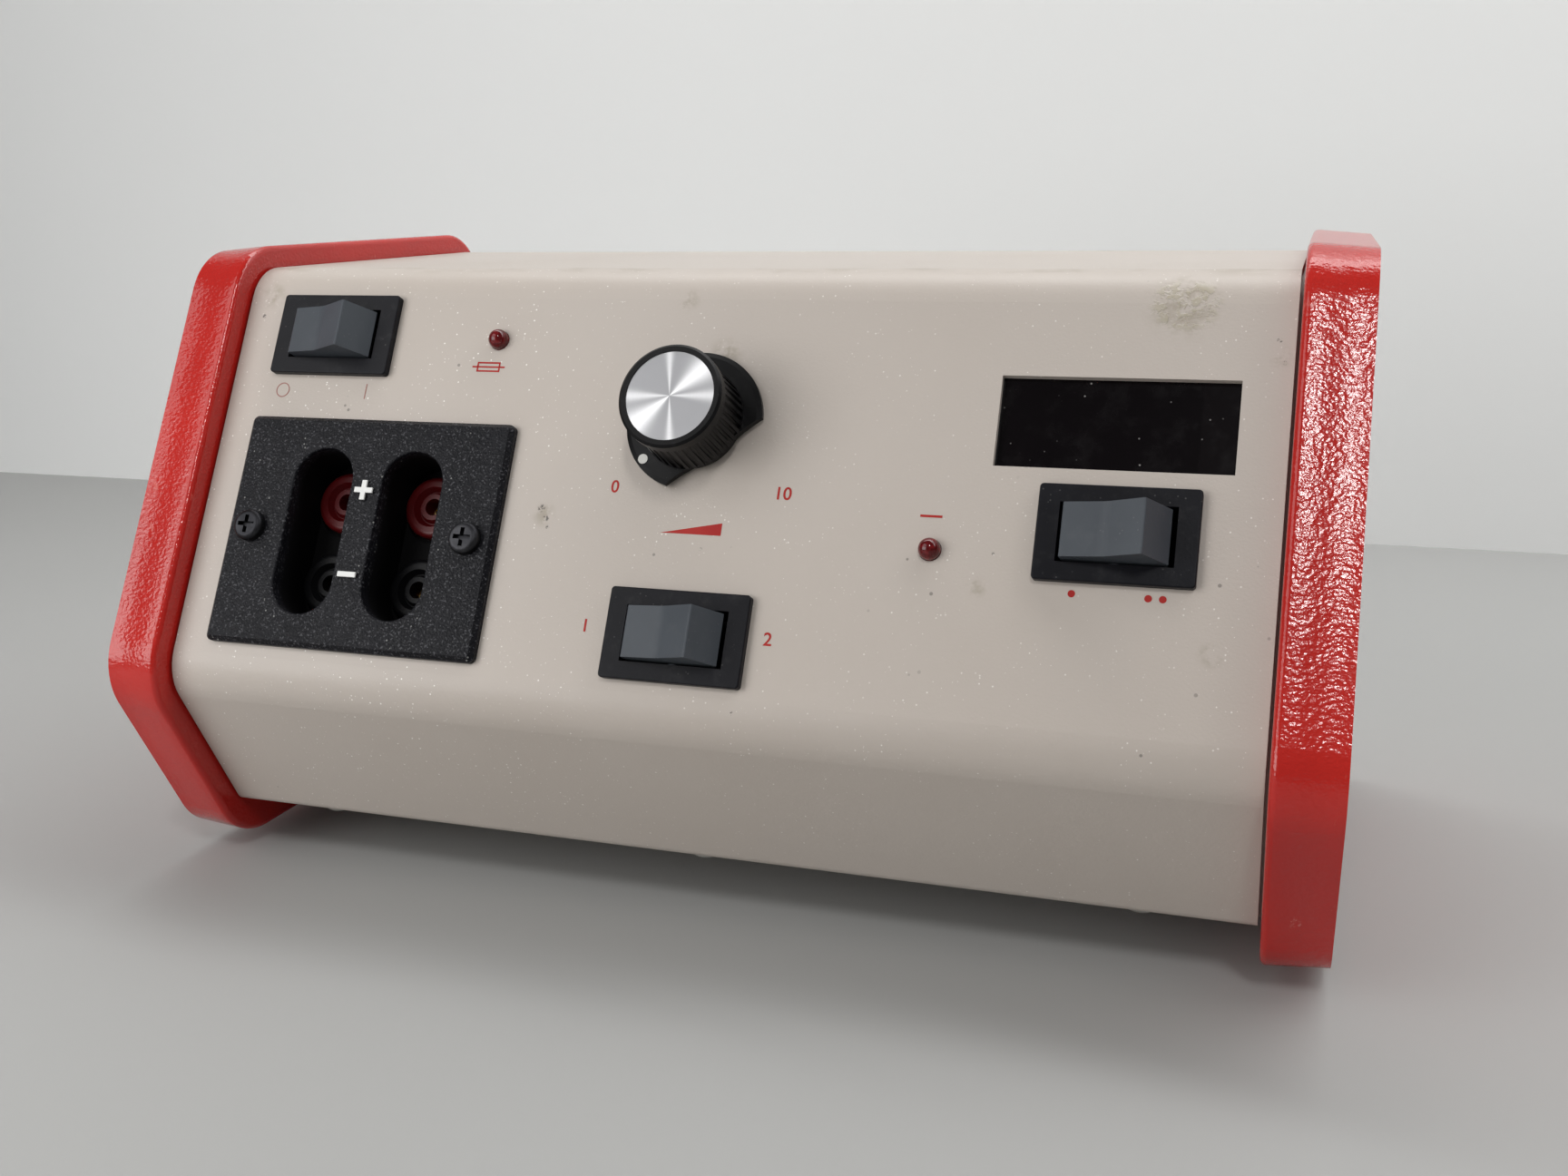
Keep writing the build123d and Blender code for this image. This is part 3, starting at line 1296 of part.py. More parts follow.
def readout_lead():
    """Round bundle of wires between the board's header and the readout plug."""
    points = lead_points()
    radii = lead_radii(points)
    path = FilletPolyline(*points, radius=radii)
    section = Plane(origin=path @ 0, z_dir=path % 0) * Circle(LEAD_R)
    tube = sweep(section, path=path)
    expected = path.length * math.pi * LEAD_R ** 2
    print("readout lead volume", round(tube.volume), "against", round(expected))
    return tube


def build():
    """Every piece of the instrument by its node name."""
    parts = {}
    parts["right_cheek"] = right_cheek()
    parts["left_cheek"] = mirror(parts["right_cheek"], about=Plane.YZ)
    parts["cheek_screws"] = cheek_fasteners()
    parts["front_cover"] = front_cover()
    parts["cover_screws"] = cover_screws()
    parts["chassis_tray"] = chassis_tray()
    parts["rubber_feet"] = rubber_feet()
    parts["foot_screws"] = foot_screws()
    for name, spot in SWITCH_SPOTS.items():
        parts[name + "_switch_housing"] = on_panel(spot, switch_housing())
        parts[name + "_rocker"] = on_panel(spot, rocker())
        parts[name + "_switch_tabs"] = on_panel(spot, switch_tabs())
    for name, spot in LAMP_SPOTS.items():
        parts[name + "_lamp"] = on_panel(spot, lamp())
    parts["lamp_clips"] = lamp_clips()
    parts["voltage_knob"] = on_panel(KNOB_SPOT, knob_body())
    parts["knob_disc"] = on_panel(KNOB_SPOT, knob_disc())
    parts["pointer_dot"] = on_panel(KNOB_SPOT, pointer_dot())
    parts["knob_set_screw"] = on_panel(KNOB_SPOT, knob_set_screw())
    parts["potentiometer_shaft"] = on_panel(KNOB_SPOT, pot_shaft())
    parts["potentiometer_body"] = on_panel(KNOB_SPOT, pot_body())
    parts["potentiometer_nut"] = on_panel(KNOB_SPOT, hex_nut(POT_NUT_FLATS, POT_NUT_H, BUSH_R))
    parts["display_filter"] = on_panel(WINDOW_SPOT, display_filter())
    parts["display_digits"] = on_panel(WINDOW_SPOT, display_digits())
    parts["display_board"] = on_panel(WINDOW_SPOT, display_board())
    parts["display_pillars"] = on_panel(WINDOW_SPOT, display_pillars())
    parts["terminal_block"] = on_panel(BLOCK_SPOT, terminal_block())
    parts["terminal_screws"], parts["terminal_nuts"] = block_fasteners()
    contacts = []
    nuts = []
    for name, spot in socket_spots().items():
        parts[name] = in_block(spot, socket_body())
        contacts.append(in_block(spot, contact_tube()))
        nuts.append(in_block(spot, socket_nut()))
    parts["socket_contacts"] = group(contacts)
    parts["socket_nuts"] = group(nuts)
    parts["mains_inlet"] = on_rear(INLET_X, INLET_Z, inlet_body())
    parts["inlet_pins"] = on_rear(INLET_X, INLET_Z, inlet_pins())
    parts["inlet_screws"] = on_rear(INLET_X, INLET_Z, inlet_fasteners())
    parts["fuse_holder"] = on_rear(FUSE_X, FUSE_Z, fuse_holder())
    parts["fuse_holder_nut"] = on_rear(FUSE_X, FUSE_Z, holder_nut())
    parts["fuse_cap"] = on_rear(FUSE_X, FUSE_Z, fuse_cap())
    parts["fuse_cartridge"] = on_rear(FUSE_X, FUSE_Z, fuse_cartridge())
    core_place = Pos(CORE_X, CORE_Y, core_low())
    parts["transformer_core"] = core_place * transformer_core()
    parts["transformer_coil"] = core_place * transformer_coil()
    parts["transformer_brackets"] = core_place * transformer_brackets()
    parts["transformer_bolts"] = transformer_bolts()
    parts["main_board"] = main_board()
    parts["board_standoffs"] = board_standoffs()
    parts["reservoir_capacitors"] = reservoir_capacitors()
    parts["heat_sink"] = heat_sink()
    parts["power_transistors"] = power_transistors()
    parts["board_header"] = board_header()
    parts["readout_plug"] = readout_plug()
    parts["readout_lead"] = readout_lead()
    return parts


os.makedirs("parts", exist_ok=True)
for part_name, part_shape in build().items():
    export_step(group([part_shape]), "parts/" + part_name + ".step")
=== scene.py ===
"""Looks of a bench power supply: a beige sloping case between two red end cheeks."""

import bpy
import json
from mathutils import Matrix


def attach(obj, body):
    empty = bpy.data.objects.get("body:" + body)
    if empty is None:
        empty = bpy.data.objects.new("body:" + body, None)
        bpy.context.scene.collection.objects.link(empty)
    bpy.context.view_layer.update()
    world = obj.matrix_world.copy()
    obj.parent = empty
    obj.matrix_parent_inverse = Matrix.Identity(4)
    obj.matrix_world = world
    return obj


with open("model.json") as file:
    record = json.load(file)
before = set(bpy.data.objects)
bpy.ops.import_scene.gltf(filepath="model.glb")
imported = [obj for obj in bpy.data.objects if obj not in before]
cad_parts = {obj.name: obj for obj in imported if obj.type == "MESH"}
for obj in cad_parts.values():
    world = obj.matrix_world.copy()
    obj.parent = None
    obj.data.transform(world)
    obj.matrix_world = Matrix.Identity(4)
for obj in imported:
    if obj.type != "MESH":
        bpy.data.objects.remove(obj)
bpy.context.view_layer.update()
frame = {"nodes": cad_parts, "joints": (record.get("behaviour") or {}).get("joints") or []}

import json
import logging
import math
from dataclasses import dataclass, field
from enum import Enum
from typing import Callable, Union

import bmesh
import bpy
from mathutils import Euler, Matrix, Vector

log = logging.getLogger("power_supply")
MM = 0.001
Colour = tuple[float, float, float]


def rgba(colour: Colour) -> tuple[float, float, float, float]:
    """The colour with full alpha."""
    return (*colour, 1.0)


class Coords(Enum):
    """The coordinates that a finish is laid out in."""

    OBJECT = "Object"
    PANEL = "Panel"


class Field:
    """A number that changes over a surface, held as the socket that carries it."""

    def __init__(self, net: "Net", socket: bpy.types.NodeSocket) -> None:
        """Keeps the socket and the net it belongs to."""
        self.net = net
        self.socket = socket

    def _maths(self, operation: str, first: "Number", second: "Number" = 0.0) -> "Field":
        """One Math node on two numbers."""
        node = self.net.node("ShaderNodeMath", {"operation": operation}, {0: first, 1: second})
        return Field(self.net, node.outputs[0])

    def __add__(self, other: "Number") -> "Field":
        """Sum."""
        return self._maths("ADD", self, other)

    __radd__ = __add__

    def __sub__(self, other: "Number") -> "Field":
        """Difference."""
        return self._maths("SUBTRACT", self, other)

    def __rsub__(self, other: "Number") -> "Field":
        """Difference with the number on the left."""
        return self._maths("SUBTRACT", other, self)

    def __mul__(self, other: "Number") -> "Field":
        """Product."""
        return self._maths("MULTIPLY", self, other)

    __rmul__ = __mul__

    def __truediv__(self, other: "Number") -> "Field":
        """Quotient."""
        return self._maths("DIVIDE", self, other)

    def __pow__(self, other: "Number") -> "Field":
        """Power."""
        return self._maths("POWER", self, other)

    def __abs__(self) -> "Field":
        """Size without sign."""
        return self._maths("ABSOLUTE", self)

    def above(self, limit: float) -> "Field":
        """1 where the number is over the limit, else 0."""
        return self._maths("GREATER_THAN", self, limit)

    def least(self, other: "Number") -> "Field":
        """The smaller of two numbers."""
        return self._maths("MINIMUM", self, other)

    def wave(self) -> "Field":
        """Sine."""
        return self._maths("SINE", self)

    def rise(self, low: float, high: float) -> "Field":
        """A smooth step from 0 at low to 1 at high. High may be the smaller one.

        Args:
            low: the value that gives 0.
            high: the value that gives 1.

        Returns:
            The stepped field.
        """
        node = self.net.node("ShaderNodeMapRange", {"interpolation_type": "SMOOTHSTEP"},
                             {"Value": self, "From Min": low, "From Max": high})
        return Field(self.net, node.outputs["Result"])


Number = Union[Field, float]


class Net:
    """The nodes of one material."""

    def __init__(self, name: str, coords: Coords = Coords.OBJECT) -> None:
        """Starts a material with an empty node tree.

        Args:
            name: the material's name.
            coords: what its patterns are laid out in.
        """
        self.material = bpy.data.materials.new(name)
        self.material.use_nodes = True
        self.tree = self.material.node_tree
        self.tree.nodes.clear()
        place = self.node("ShaderNodeTexCoord").outputs["Object"]
        if coords is Coords.PANEL:
            settings = {"vector_type": "POINT"}
            turn = self.node("ShaderNodeMapping", settings,
                             {"Vector": place, "Rotation": PANEL.unturn, "Location": PANEL.unshift})
            place = turn.outputs[0]
        self.place = place

    def node(self, kind: str, settings: dict | None = None, inputs: dict | None = None) -> bpy.types.Node:
        """Adds a node.

        Args:
            kind: the node's type.
            settings: its properties, and a ramp's stops under "stops".
            inputs: values, fields or sockets by the input's name or number.

        Returns:
            The new node.
        """
        made = self.tree.nodes.new(kind)
        for key, value in (settings or {}).items():
            if key == "stops":
                ramp = made.color_ramp.elements
                while len(ramp) > len(value):
                    ramp.remove(ramp[-1])
                while len(ramp) < len(value):
                    ramp.new(1.0)
                for stop, (position, colour) in zip(ramp, value):
                    stop.position = position
                    stop.color = rgba(colour)
            else:
                setattr(made, key, value)
        for key, value in (inputs or {}).items():
            if isinstance(value, Field):
                value = value.socket
            if isinstance(value, bpy.types.NodeSocket):
                self.tree.links.new(value, made.inputs[key])
            else:
                made.inputs[key].default_value = value
        return made

    def noise(self, scale: float, detail: float = 2.0, roughness: float = 0.5,
              stretch: tuple[float, float, float] | None = None) -> Field:
        """Smooth noise between about 0 and 1.

        Args:
            scale: features per metre.
            detail: octaves.
            roughness: strength of the finer octaves.
            stretch: how the place is scaled along each axis first.

        Returns:
            The noise.
        """
        place = self.place
        if stretch:
            place = self.node("ShaderNodeVectorMath", {"operation": "MULTIPLY"},
                              {0: place, 1: stretch}).outputs[0]
        made = self.node("ShaderNodeTexNoise", {},
                         {"Vector": place, "Scale": scale, "Detail": detail, "Roughness": roughness})
        return Field(self, made.outputs[0])

    def cells(self, scale: float, feature: str = "F1") -> bpy.types.Node:
        """Voronoi cells with the given number per metre."""
        return self.node("ShaderNodeTexVoronoi", {"feature": feature}, {"Vector": self.place, "Scale": scale})

    def specks(self, scale: float, outer: float, inner: float) -> Field:
        """Round specks, one in each cell.

        Args:
            scale: cells per metre.
            outer: the distance in a cell at which a speck ends.
            inner: the distance within which it is full.

        Returns:
            1 on the specks and 0 between them.
        """
        return Field(self, self.cells(scale).outputs["Distance"]).rise(outer, inner)

    def axis(self, index: int) -> Field:
        """One coordinate of the place, in metres."""
        return Field(self, self.node("ShaderNodeSeparateXYZ", {}, {0: self.place}).outputs[index])

    def near(self, spot: tuple[float, float, float], radius: float, soft: float = 0.5,
             squeeze: tuple[float, float, float] = (1.0, 1.0, 1.0)) -> Field:
        """1 inside a blob round a spot, falling to 0 at its radius.

        Args:
            spot: the blob's centre in metres.
            radius: its radius in metres.
            soft: the share of the radius over which it fades.
            squeeze: how much each axis is scaled, so that above 1 is narrower.

        Returns:
            The blob.
        """
        away = self.node("ShaderNodeVectorMath", {"operation": "SUBTRACT"}, {0: self.place, 1: spot})
        shaped = self.node("ShaderNodeVectorMath", {"operation": "MULTIPLY"},
                           {0: away.outputs[0], 1: squeeze})
        length = self.node("ShaderNodeVectorMath", {"operation": "LENGTH"}, {0: shaped.outputs[0]})
        return Field(self, length.outputs["Value"]).rise(radius, radius * (1 - soft))

    def mix(self, share: Number, first: "Colour | bpy.types.NodeSocket",
            second: "Colour | bpy.types.NodeSocket") -> bpy.types.NodeSocket:
        """A colour between two colours.

        Args:
            share: 0 for the first, 1 for the second.
            first: the colour at 0.
            second: the colour at 1.

        Returns:
            The mixed colour's socket.
        """
        ends = [rgba(end) if isinstance(end, tuple) else end for end in (first, second)]
        made = self.node("ShaderNodeMix", {"data_type": "RGBA"}, {0: share, 6: ends[0], 7: ends[1]})
        return made.outputs[2]

    def bump(self, height: Field, depth: float, strength: float = 1.0,
             under: bpy.types.NodeSocket | None = None) -> bpy.types.NodeSocket:
        """A surface's normal bent by a height field.

        Args:
            height: the height between 0 and 1.
            depth: how many metres a height of 1 stands for.
            strength: how much of the bend is used.
            under: the normal that it is laid over.

        Returns:
            The bent normal's socket.
        """
        inputs = {"Height": height, "Distance": depth, "Strength": strength}
        if under:
            inputs["Normal"] = under
        return self.node("ShaderNodeBump", {}, inputs).outputs[0]

    def finish(self, colour: "Colour | bpy.types.NodeSocket", roughness: Number,
               **sockets: object) -> bpy.types.Material:
        """Ends the material in a surface shader.

        Args:
            colour: the base colour.
            roughness: how matt it is.
            sockets: other inputs of the shader, with an underscore for each space.

        Returns:
            The finished material.
        """
        base = rgba(colour) if isinstance(colour, tuple) else colour
        inputs = {"Base Color": base, "Roughness": roughness}
        inputs.update({name.replace("_", " "): value for name, value in sockets.items()})
        shader = self.node("ShaderNodeBsdfPrincipled", {}, inputs)
        self.node("ShaderNodeOutputMaterial", {}, {0: shader.outputs[0]})
        return self.material


class PanelFrame:
    """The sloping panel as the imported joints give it: x along the case, v up the slope, w out of it."""

    KNOB_SPOT = (-0.7, 16.4)

    def __init__(self, joints: list[dict]) -> None:
        """Finds the panel's middle from the knob's joint.

        Args:
            joints: the frame's joints.
        """
        knob = next(joint for joint in joints if joint["name"] == "knob_turn")
        self.out = Vector(knob["axis"]).normalized()
        self.along = Vector((1.0, 0.0, 0.0))
        self.up = self.out.cross(self.along)
        x, v = self.KNOB_SPOT
        self.middle = Vector(knob["pos_m"]) - (self.along * x + self.up * v) * MM
        turn = Matrix((self.along, self.up, self.out))
        self.unturn = turn.to_euler("XYZ")
        self.unshift = -(turn @ self.middle)
        self.matrix = turn.transposed().to_4x4()
        self.matrix.translation = self.middle

    def at(self, x: float, v: float, w: float = 0.0) -> Vector:
        """A place on the panel, given in millimetres, in the frame's metres."""
        return self.middle + (self.along * x + self.up * v + self.out * w) * MM


PANEL = PanelFrame(frame["joints"])


@dataclass(frozen=True)
class CasePaint:
    """Beige powder coat with fine texture, grime, a few marks and painted glints: white specks in its colour
    stand for the highlights of the sparkle, thicker to the left.
    """

    name: str = "case_paint"
    base: Colour = (0.505, 0.452, 0.406)
    warm: Colour = (0.475, 0.418, 0.368)
    grime: Colour = (0.300, 0.255, 0.190)
    soot: Colour = (0.070, 0.062, 0.055)
    # The colour of the painted glints.
    painted_glint: Colour = (0.93, 0.91, 0.87)
    tape_glue: Colour = (0.40, 0.36, 0.26)
    tape_spot: tuple[float, float, float] = (109.0, 47.6, -0.5)
    ledge_from: float = 54.5
    ledge_full: float = 58.0
    ledge_end: tuple[float, float] = (-11.0, -5.0)
    # Cells per metre, and the random cut-off above which a cell holds a painted glint.
    glint_sizes: tuple[tuple[float, float], ...] = ((1000.0, 0.93), (1800.0, 0.94))
    flatten: tuple[float, float, float] = (1.0, 1.0, 0.25)
    smudges: tuple[tuple[float, float, float], ...] = (
        (4.0, 34.0, 5.5), (-8.0, 47.5, 4.0), (-36.0, -8.0, 4.0), (-126.0, 48.0, 5.0),
        (109.0, 47.6, 11.0), (129.5, 36.0, 3.5), (70.0, -19.0, 3.0), (120.0, -30.0, 3.5))
    specks: tuple[tuple[float, float, float], ...] = (
        (-37.0, -6.4, 1.2), (-35.4, -8.8, 1.0), (-34.6, -11.0, 0.6), (5.1, -14.1, 0.5),
        (18.2, -51.3, 0.6), (129.0, 39.4, 0.7), (130.4, 34.3, 0.6), (-127.5, 42.0, 0.7))

    def marks(self, net: Net, places: tuple[tuple[float, float, float], ...], soft: float) -> Field:
        """Blobs on the panel.

        Args:
            net: the material's nodes.
            places: x, v and radius of each blob in millimetres.
            soft: the share of the radius over which a blob fades.

        Returns:
            The sum of the blobs.
        """
        total: Number = 0.0
        for x, v, radius in places:
            total = total + net.near((x * MM, v * MM, 0.0), radius * MM, soft, self.flatten)
        return total

    def build(self) -> bpy.types.Material:
        """Builds the material in the panel's coordinates."""
        net = Net(self.name, Coords.PANEL)
        broad = net.noise(9.0, 3.0, 0.55).rise(0.35, 0.7)
        colour = net.mix(broad * 0.55, self.base, self.warm)
        patchy = net.noise(260.0, 3.0, 0.6)
        stain = (self.marks(net, self.smudges, 0.9) * patchy.rise(0.42, 0.62)).least(1.0)
        colour = net.mix(stain * 0.6, colour, self.grime)
        dots = self.marks(net, self.specks, 0.5)
        ragged = net.noise(1500.0, 2.0, 0.6).rise(0.45, 0.56)
        colour = net.mix((dots * ragged).least(1.0) * 0.85, colour, self.soot)
        stray = net.specks(150.0, 0.075, 0.05) * net.noise(23.0, 1.0).rise(0.58, 0.66)
        colour = net.mix(stray * 0.55, colour, self.soot)
        residue = net.near(tuple(part * MM for part in self.tape_spot), 8.0 * MM, 0.35, (0.9, 1.1, 0.6))
        blotch = residue * net.noise(420.0, 3.0, 0.65).rise(0.46, 0.58)
        colour = net.mix(blotch * 0.55, colour, self.tape_glue)
        ledge = net.axis(1).rise(self.ledge_from * MM, self.ledge_full * MM)
        ledge = ledge * net.axis(2).rise(self.ledge_end[0] * MM, self.ledge_end[1] * MM)
        ledge = ledge * net.noise(150.0, 3.0, 0.6, (0.35, 1.0, 1.0)).rise(0.52, 0.66)
        colour = net.mix(ledge * 0.35, colour, self.grime)
        # Painted highlights: white glint specks in the colour, spread by broad noise and thickest towards the
        # left of the panel.
        glint_spread = net.noise(45.0, 2.0).rise(0.38, 0.6) * 0.6 + net.axis(0).rise(20.0 * MM, -70.0 * MM) * 0.5
        lit: Number = 0.0
        for per_metre, share in self.glint_sizes:
            glint_cells = net.cells(per_metre)
            grain = Field(net, glint_cells.outputs["Distance"])
            lit = lit + Field(net, self._pick(net, glint_cells)).above(share) * grain.rise(0.26, 0.12) * glint_spread
        lit = lit.least(1.0)
        colour = net.mix(lit * 0.9, colour, self.painted_glint)
        texture = net.noise(1500.0, 2.0, 0.55) + net.noise(420.0, 1.0) * 0.5
        gloss = 0.40 + broad * 0.05 + stain * 0.12 - lit * 0.22 - blotch * 0.12
        normal = net.bump(texture, 0.00011, 0.45)
        raised = net.bump(blotch, 0.0003, 0.5, normal)
        return net.finish(colour, gloss, Normal=raised, Specular_IOR_Level=0.42)

    @staticmethod
    def _pick(net: Net, cells: bpy.types.Node) -> bpy.types.NodeSocket:
        """One random number per cell."""
        return net.node("ShaderNodeSeparateColor", {}, {0: cells.outputs["Color"]}).outputs[0]


@dataclass(frozen=True)
class CheekPaint:
    """Gloss red paint with orange peel, worn edges and a few chips."""

    name: str = "cheek_paint"
    base: Colour = (0.520, 0.020, 0.014)
    deep: Colour = (0.440, 0.015, 0.011)
    chip: Colour = (0.62, 0.56, 0.52)
    crease: float = 132.3
    crease_pitch: float = 16.8
    crease_depth: float = 0.16
    scuffed: Colour = (0.70, 0.22, 0.17)
    chips: tuple[tuple[float, float, float, float], ...] = (
        (133.4, -89.2, 55.8, 1.5), (-132.6, -89.2, 57.0, 1.1),
        (146.6, -22.0, 160.8, 1.2), (-146.4, -60.0, 100.0, 0.8))

    def build(self) -> bpy.types.Material:
        """Builds the material."""
        net = Net(self.name)
        colour = net.mix(net.noise(14.0, 3.0).rise(0.35, 0.65), self.base, self.deep)
        worn: Number = 0.0
        for x, y, z, radius in self.chips:
            worn = worn + net.near((x * MM, y * MM, z * MM), radius * MM, 0.4)
        ragged = net.noise(900.0, 2.0, 0.6).rise(0.45, 0.55)
        scuffs = net.noise(160.0, 4.0, 0.7, (1.0, 1.0, 0.35)).rise(0.66, 0.72)
        colour = net.mix(scuffs * 0.25, colour, self.scuffed)
        bare = (worn * ragged).least(1.0)
        colour = net.mix(bare * 0.8, colour, self.chip)
        peel = net.noise(900.0, 1.5, 0.5, (1.0, 1.0, 1.3)) + net.noise(260.0, 1.0) * 0.4
        sway = net.noise(22.0, 1.0) * 0.0012
        across = (abs(net.axis(0)) - self.crease * MM + sway) * (math.tau / (self.crease_pitch * MM))
        crease = net.bump(across.wave(), self.crease_depth * MM, 1.0)
        gloss = 0.13 + scuffs * 0.15 + bare * 0.3 + net.noise(40.0, 2.0) * 0.04
        peeled = net.bump(peel, 0.00013, 1.0, crease)
        return net.finish(colour, gloss, Normal=peeled, Specular_IOR_Level=0.5)


@dataclass(frozen=True)
class Moulded:
    """A moulded plastic or rubber with its own grain."""

    name: str
    base: Colour
    tint: Colour
    roughness: float = 0.45
    grain: float = 900.0
    depth: float = 0.00004
    strength: float = 0.5
    dusty: float = 0.0
    specular: float = 0.5
    dust: Colour = (0.42, 0.41, 0.40)

    def colours(self, net: Net) -> bpy.types.NodeSocket:
        """The mottled base colour with pale dust."""
        colour = net.mix(net.noise(60.0, 3.0).rise(0.35, 0.7), self.base, self.tint)
        if self.dusty:
            motes = net.specks(700.0, 0.16, 0.1)
            settled = motes * net.noise(90.0, 2.0).rise(0.5, 0.62)
            film = net.noise(220.0, 4.0, 0.65).rise(0.5, 0.8) * 0.25
            colour = net.mix((settled + film) * self.dusty, colour, self.dust)
        return colour

    def build(self) -> bpy.types.Material:
        """Builds the material."""
        net = Net(self.name)
        height = net.noise(self.grain, 2.0, 0.5)
        gloss = self.roughness + (net.noise(120.0, 2.0) - 0.5) * 0.12
        normal = net.bump(height, self.depth, self.strength)
        return net.finish(self.colours(net), gloss, Normal=normal, Specular_IOR_Level=self.specular)


@dataclass(frozen=True)
class Pebbled:
    """Black moulding with a pebble grain, whose raised signs are white."""

    name: str = "terminal_moulding"
    base: Colour = (0.0065, 0.0065, 0.0085)
    tint: Colour = (0.0095, 0.0095, 0.0120)
    # Painted shade colour for the faces sunk inside the slots.
    deep: Colour = (0.0025, 0.0024, 0.0028)
    paint: Colour = (0.80, 0.80, 0.78)
    # Pale colour of the painted highlight flecks.
    highlight_fleck: Colour = (0.24, 0.24, 0.26)
    face: float = 2.6
    grain: float = 2100.0

    def build(self) -> bpy.types.Material:
        """Builds the material in the panel's coordinates."""
        net = Net(self.name, Coords.PANEL)
        colour = net.mix(net.noise(70.0, 3.0).rise(0.4, 0.7), self.base, self.tint)
        motes = net.specks(520.0, 0.13, 0.09)
        colour = net.mix(motes * net.noise(60.0, 2.0).rise(0.52, 0.62) * 0.5, colour, (0.5, 0.5, 0.48))
        sign = net.axis(2).rise((self.face + 0.25) * MM, (self.face + 0.45) * MM)
        colour = net.mix(sign, colour, self.paint)
        pebble = Field(net, net.cells(self.grain, "SMOOTH_F1").outputs["Distance"])
        # Painted shade: faces sunk below the panel face, inside the slots, are darkened to near black.
        inside = net.axis(2).rise(1.2 * MM, -2.0 * MM)
        # Painted highlights: pale flecks in the colour stand in for the speckled glints of light on the
        # grain.
        highlight_flecks = net.noise(1800.0, 1.0).rise(0.58, 0.72) * (1.0 - sign)
        colour = net.mix(highlight_flecks * 0.26, colour, self.highlight_fleck)
        colour = net.mix(inside, colour, self.deep)
        open_face = net.axis(2).rise(0.8 * MM, 1.4 * MM) * (1.0 - sign)
        height = pebble * open_face + net.noise(2600.0, 1.0) * 0.2
        gloss = 0.34 + inside * 0.25 + net.noise(200.0, 2.0) * 0.08
        return net.finish(colour, gloss, Normal=net.bump(height, 0.00020, 0.9), Specular_IOR_Level=0.12)


@dataclass(frozen=True)
class SpunDisc:
    """Aluminium disc turned on a lathe: fine rings, and its wedge-shaped sheen painted into the colour as
    bright and dark wedges.
    """

    name: str = "spun_disc"
    sheen_bright: Colour = (0.94, 0.94, 0.95)
    dark: Colour = (0.33, 0.33, 0.34)
    # Angle in degrees, narrowness and weight of each painted sheen wedge.
    sheen_lobes: tuple[tuple[float, float, float], ...] = ((43.0, 12.0, 1.0), (2.0, 55.0, 0.6), (99.0, 130.0, 0.6))
    spot: tuple[float, float] = PanelFrame.KNOB_SPOT

    def build(self) -> bpy.types.Material:
        """Builds the material in the panel's coordinates."""
        net = Net(self.name, Coords.PANEL)
        across = net.axis(0) - self.spot[0] * MM
        up = net.axis(1) - self.spot[1] * MM
        reach = (across * across + up * up) ** 0.5
        turn = net.node("ShaderNodeMath", {"operation": "ARCTAN2"}, {0: up, 1: across})
        angle = Field(net, turn.outputs[0])
        # Painted reflection: bright wedges around the middle stand for the sheen of the spun surface, and
        # between them the colour stays dark.
        painted_sheen: Number = 0.0
        for toward, narrow, weight in self.sheen_lobes:
            turned = (angle - math.radians(toward)) * 2.0 + math.pi / 2
            painted_sheen = painted_sheen + (turned.wave() * 0.5 + 0.5) ** narrow * weight
        painted_sheen = painted_sheen.least(1.0)
        colour = net.mix(painted_sheen, self.dark, self.sheen_bright)
        rings = net.node("ShaderNodeTexNoise", {"noise_dimensions": "1D"},
                         {"W": reach, "Scale": 9000.0, "Detail": 2.0})
        ring = Field(net, rings.outputs[0])
        colour = net.mix((ring - 0.4) * 0.5, colour, self.dark)
        return net.finish(colour, 0.42 + ring * 0.12, Metallic=1.0, Normal=net.bump(ring, 0.00002, 0.35))


@dataclass(frozen=True)
class Metal:
    """A bare or plated metal with light scratches."""

    name: str
    base: Colour
    tint: Colour
    roughness: float = 0.3
    scratch: tuple[float, float, float] = (1.0, 1.0, 1.0)

    def build(self) -> bpy.types.Material:
        """Builds the material."""
        net = Net(self.name)
        colour = net.mix(net.noise(150.0, 3.0).rise(0.35, 0.65), self.base, self.tint)
        fine = net.noise(900.0, 3.0, 0.6, self.scratch)
        gloss = self.roughness + (fine - 0.5) * 0.2
        return net.finish(colour, gloss, Metallic=1.0, Normal=net.bump(fine, 0.00002, 0.4))


@dataclass(frozen=True)
class Lens:
    """A moulded lamp lens: dark red, glossy and lighter where it is thin."""

    name: str = "lamp_lens"
    base: Colour = (0.085, 0.003, 0.004)
    thin: Colour = (0.220, 0.008, 0.010)

    def build(self) -> bpy.types.Material:
        """Builds the material."""
        net = Net(self.name, Coords.PANEL)
        clouds = net.noise(700.0, 2.0).rise(0.4, 0.7)
        colour = net.mix(clouds * 0.6, self.base, self.thin)
        return net.finish(colour, 0.10 + clouds * 0.05, Specular_IOR_Level=0.35,
                          Coat_Weight=0.15, Coat_Roughness=0.05)


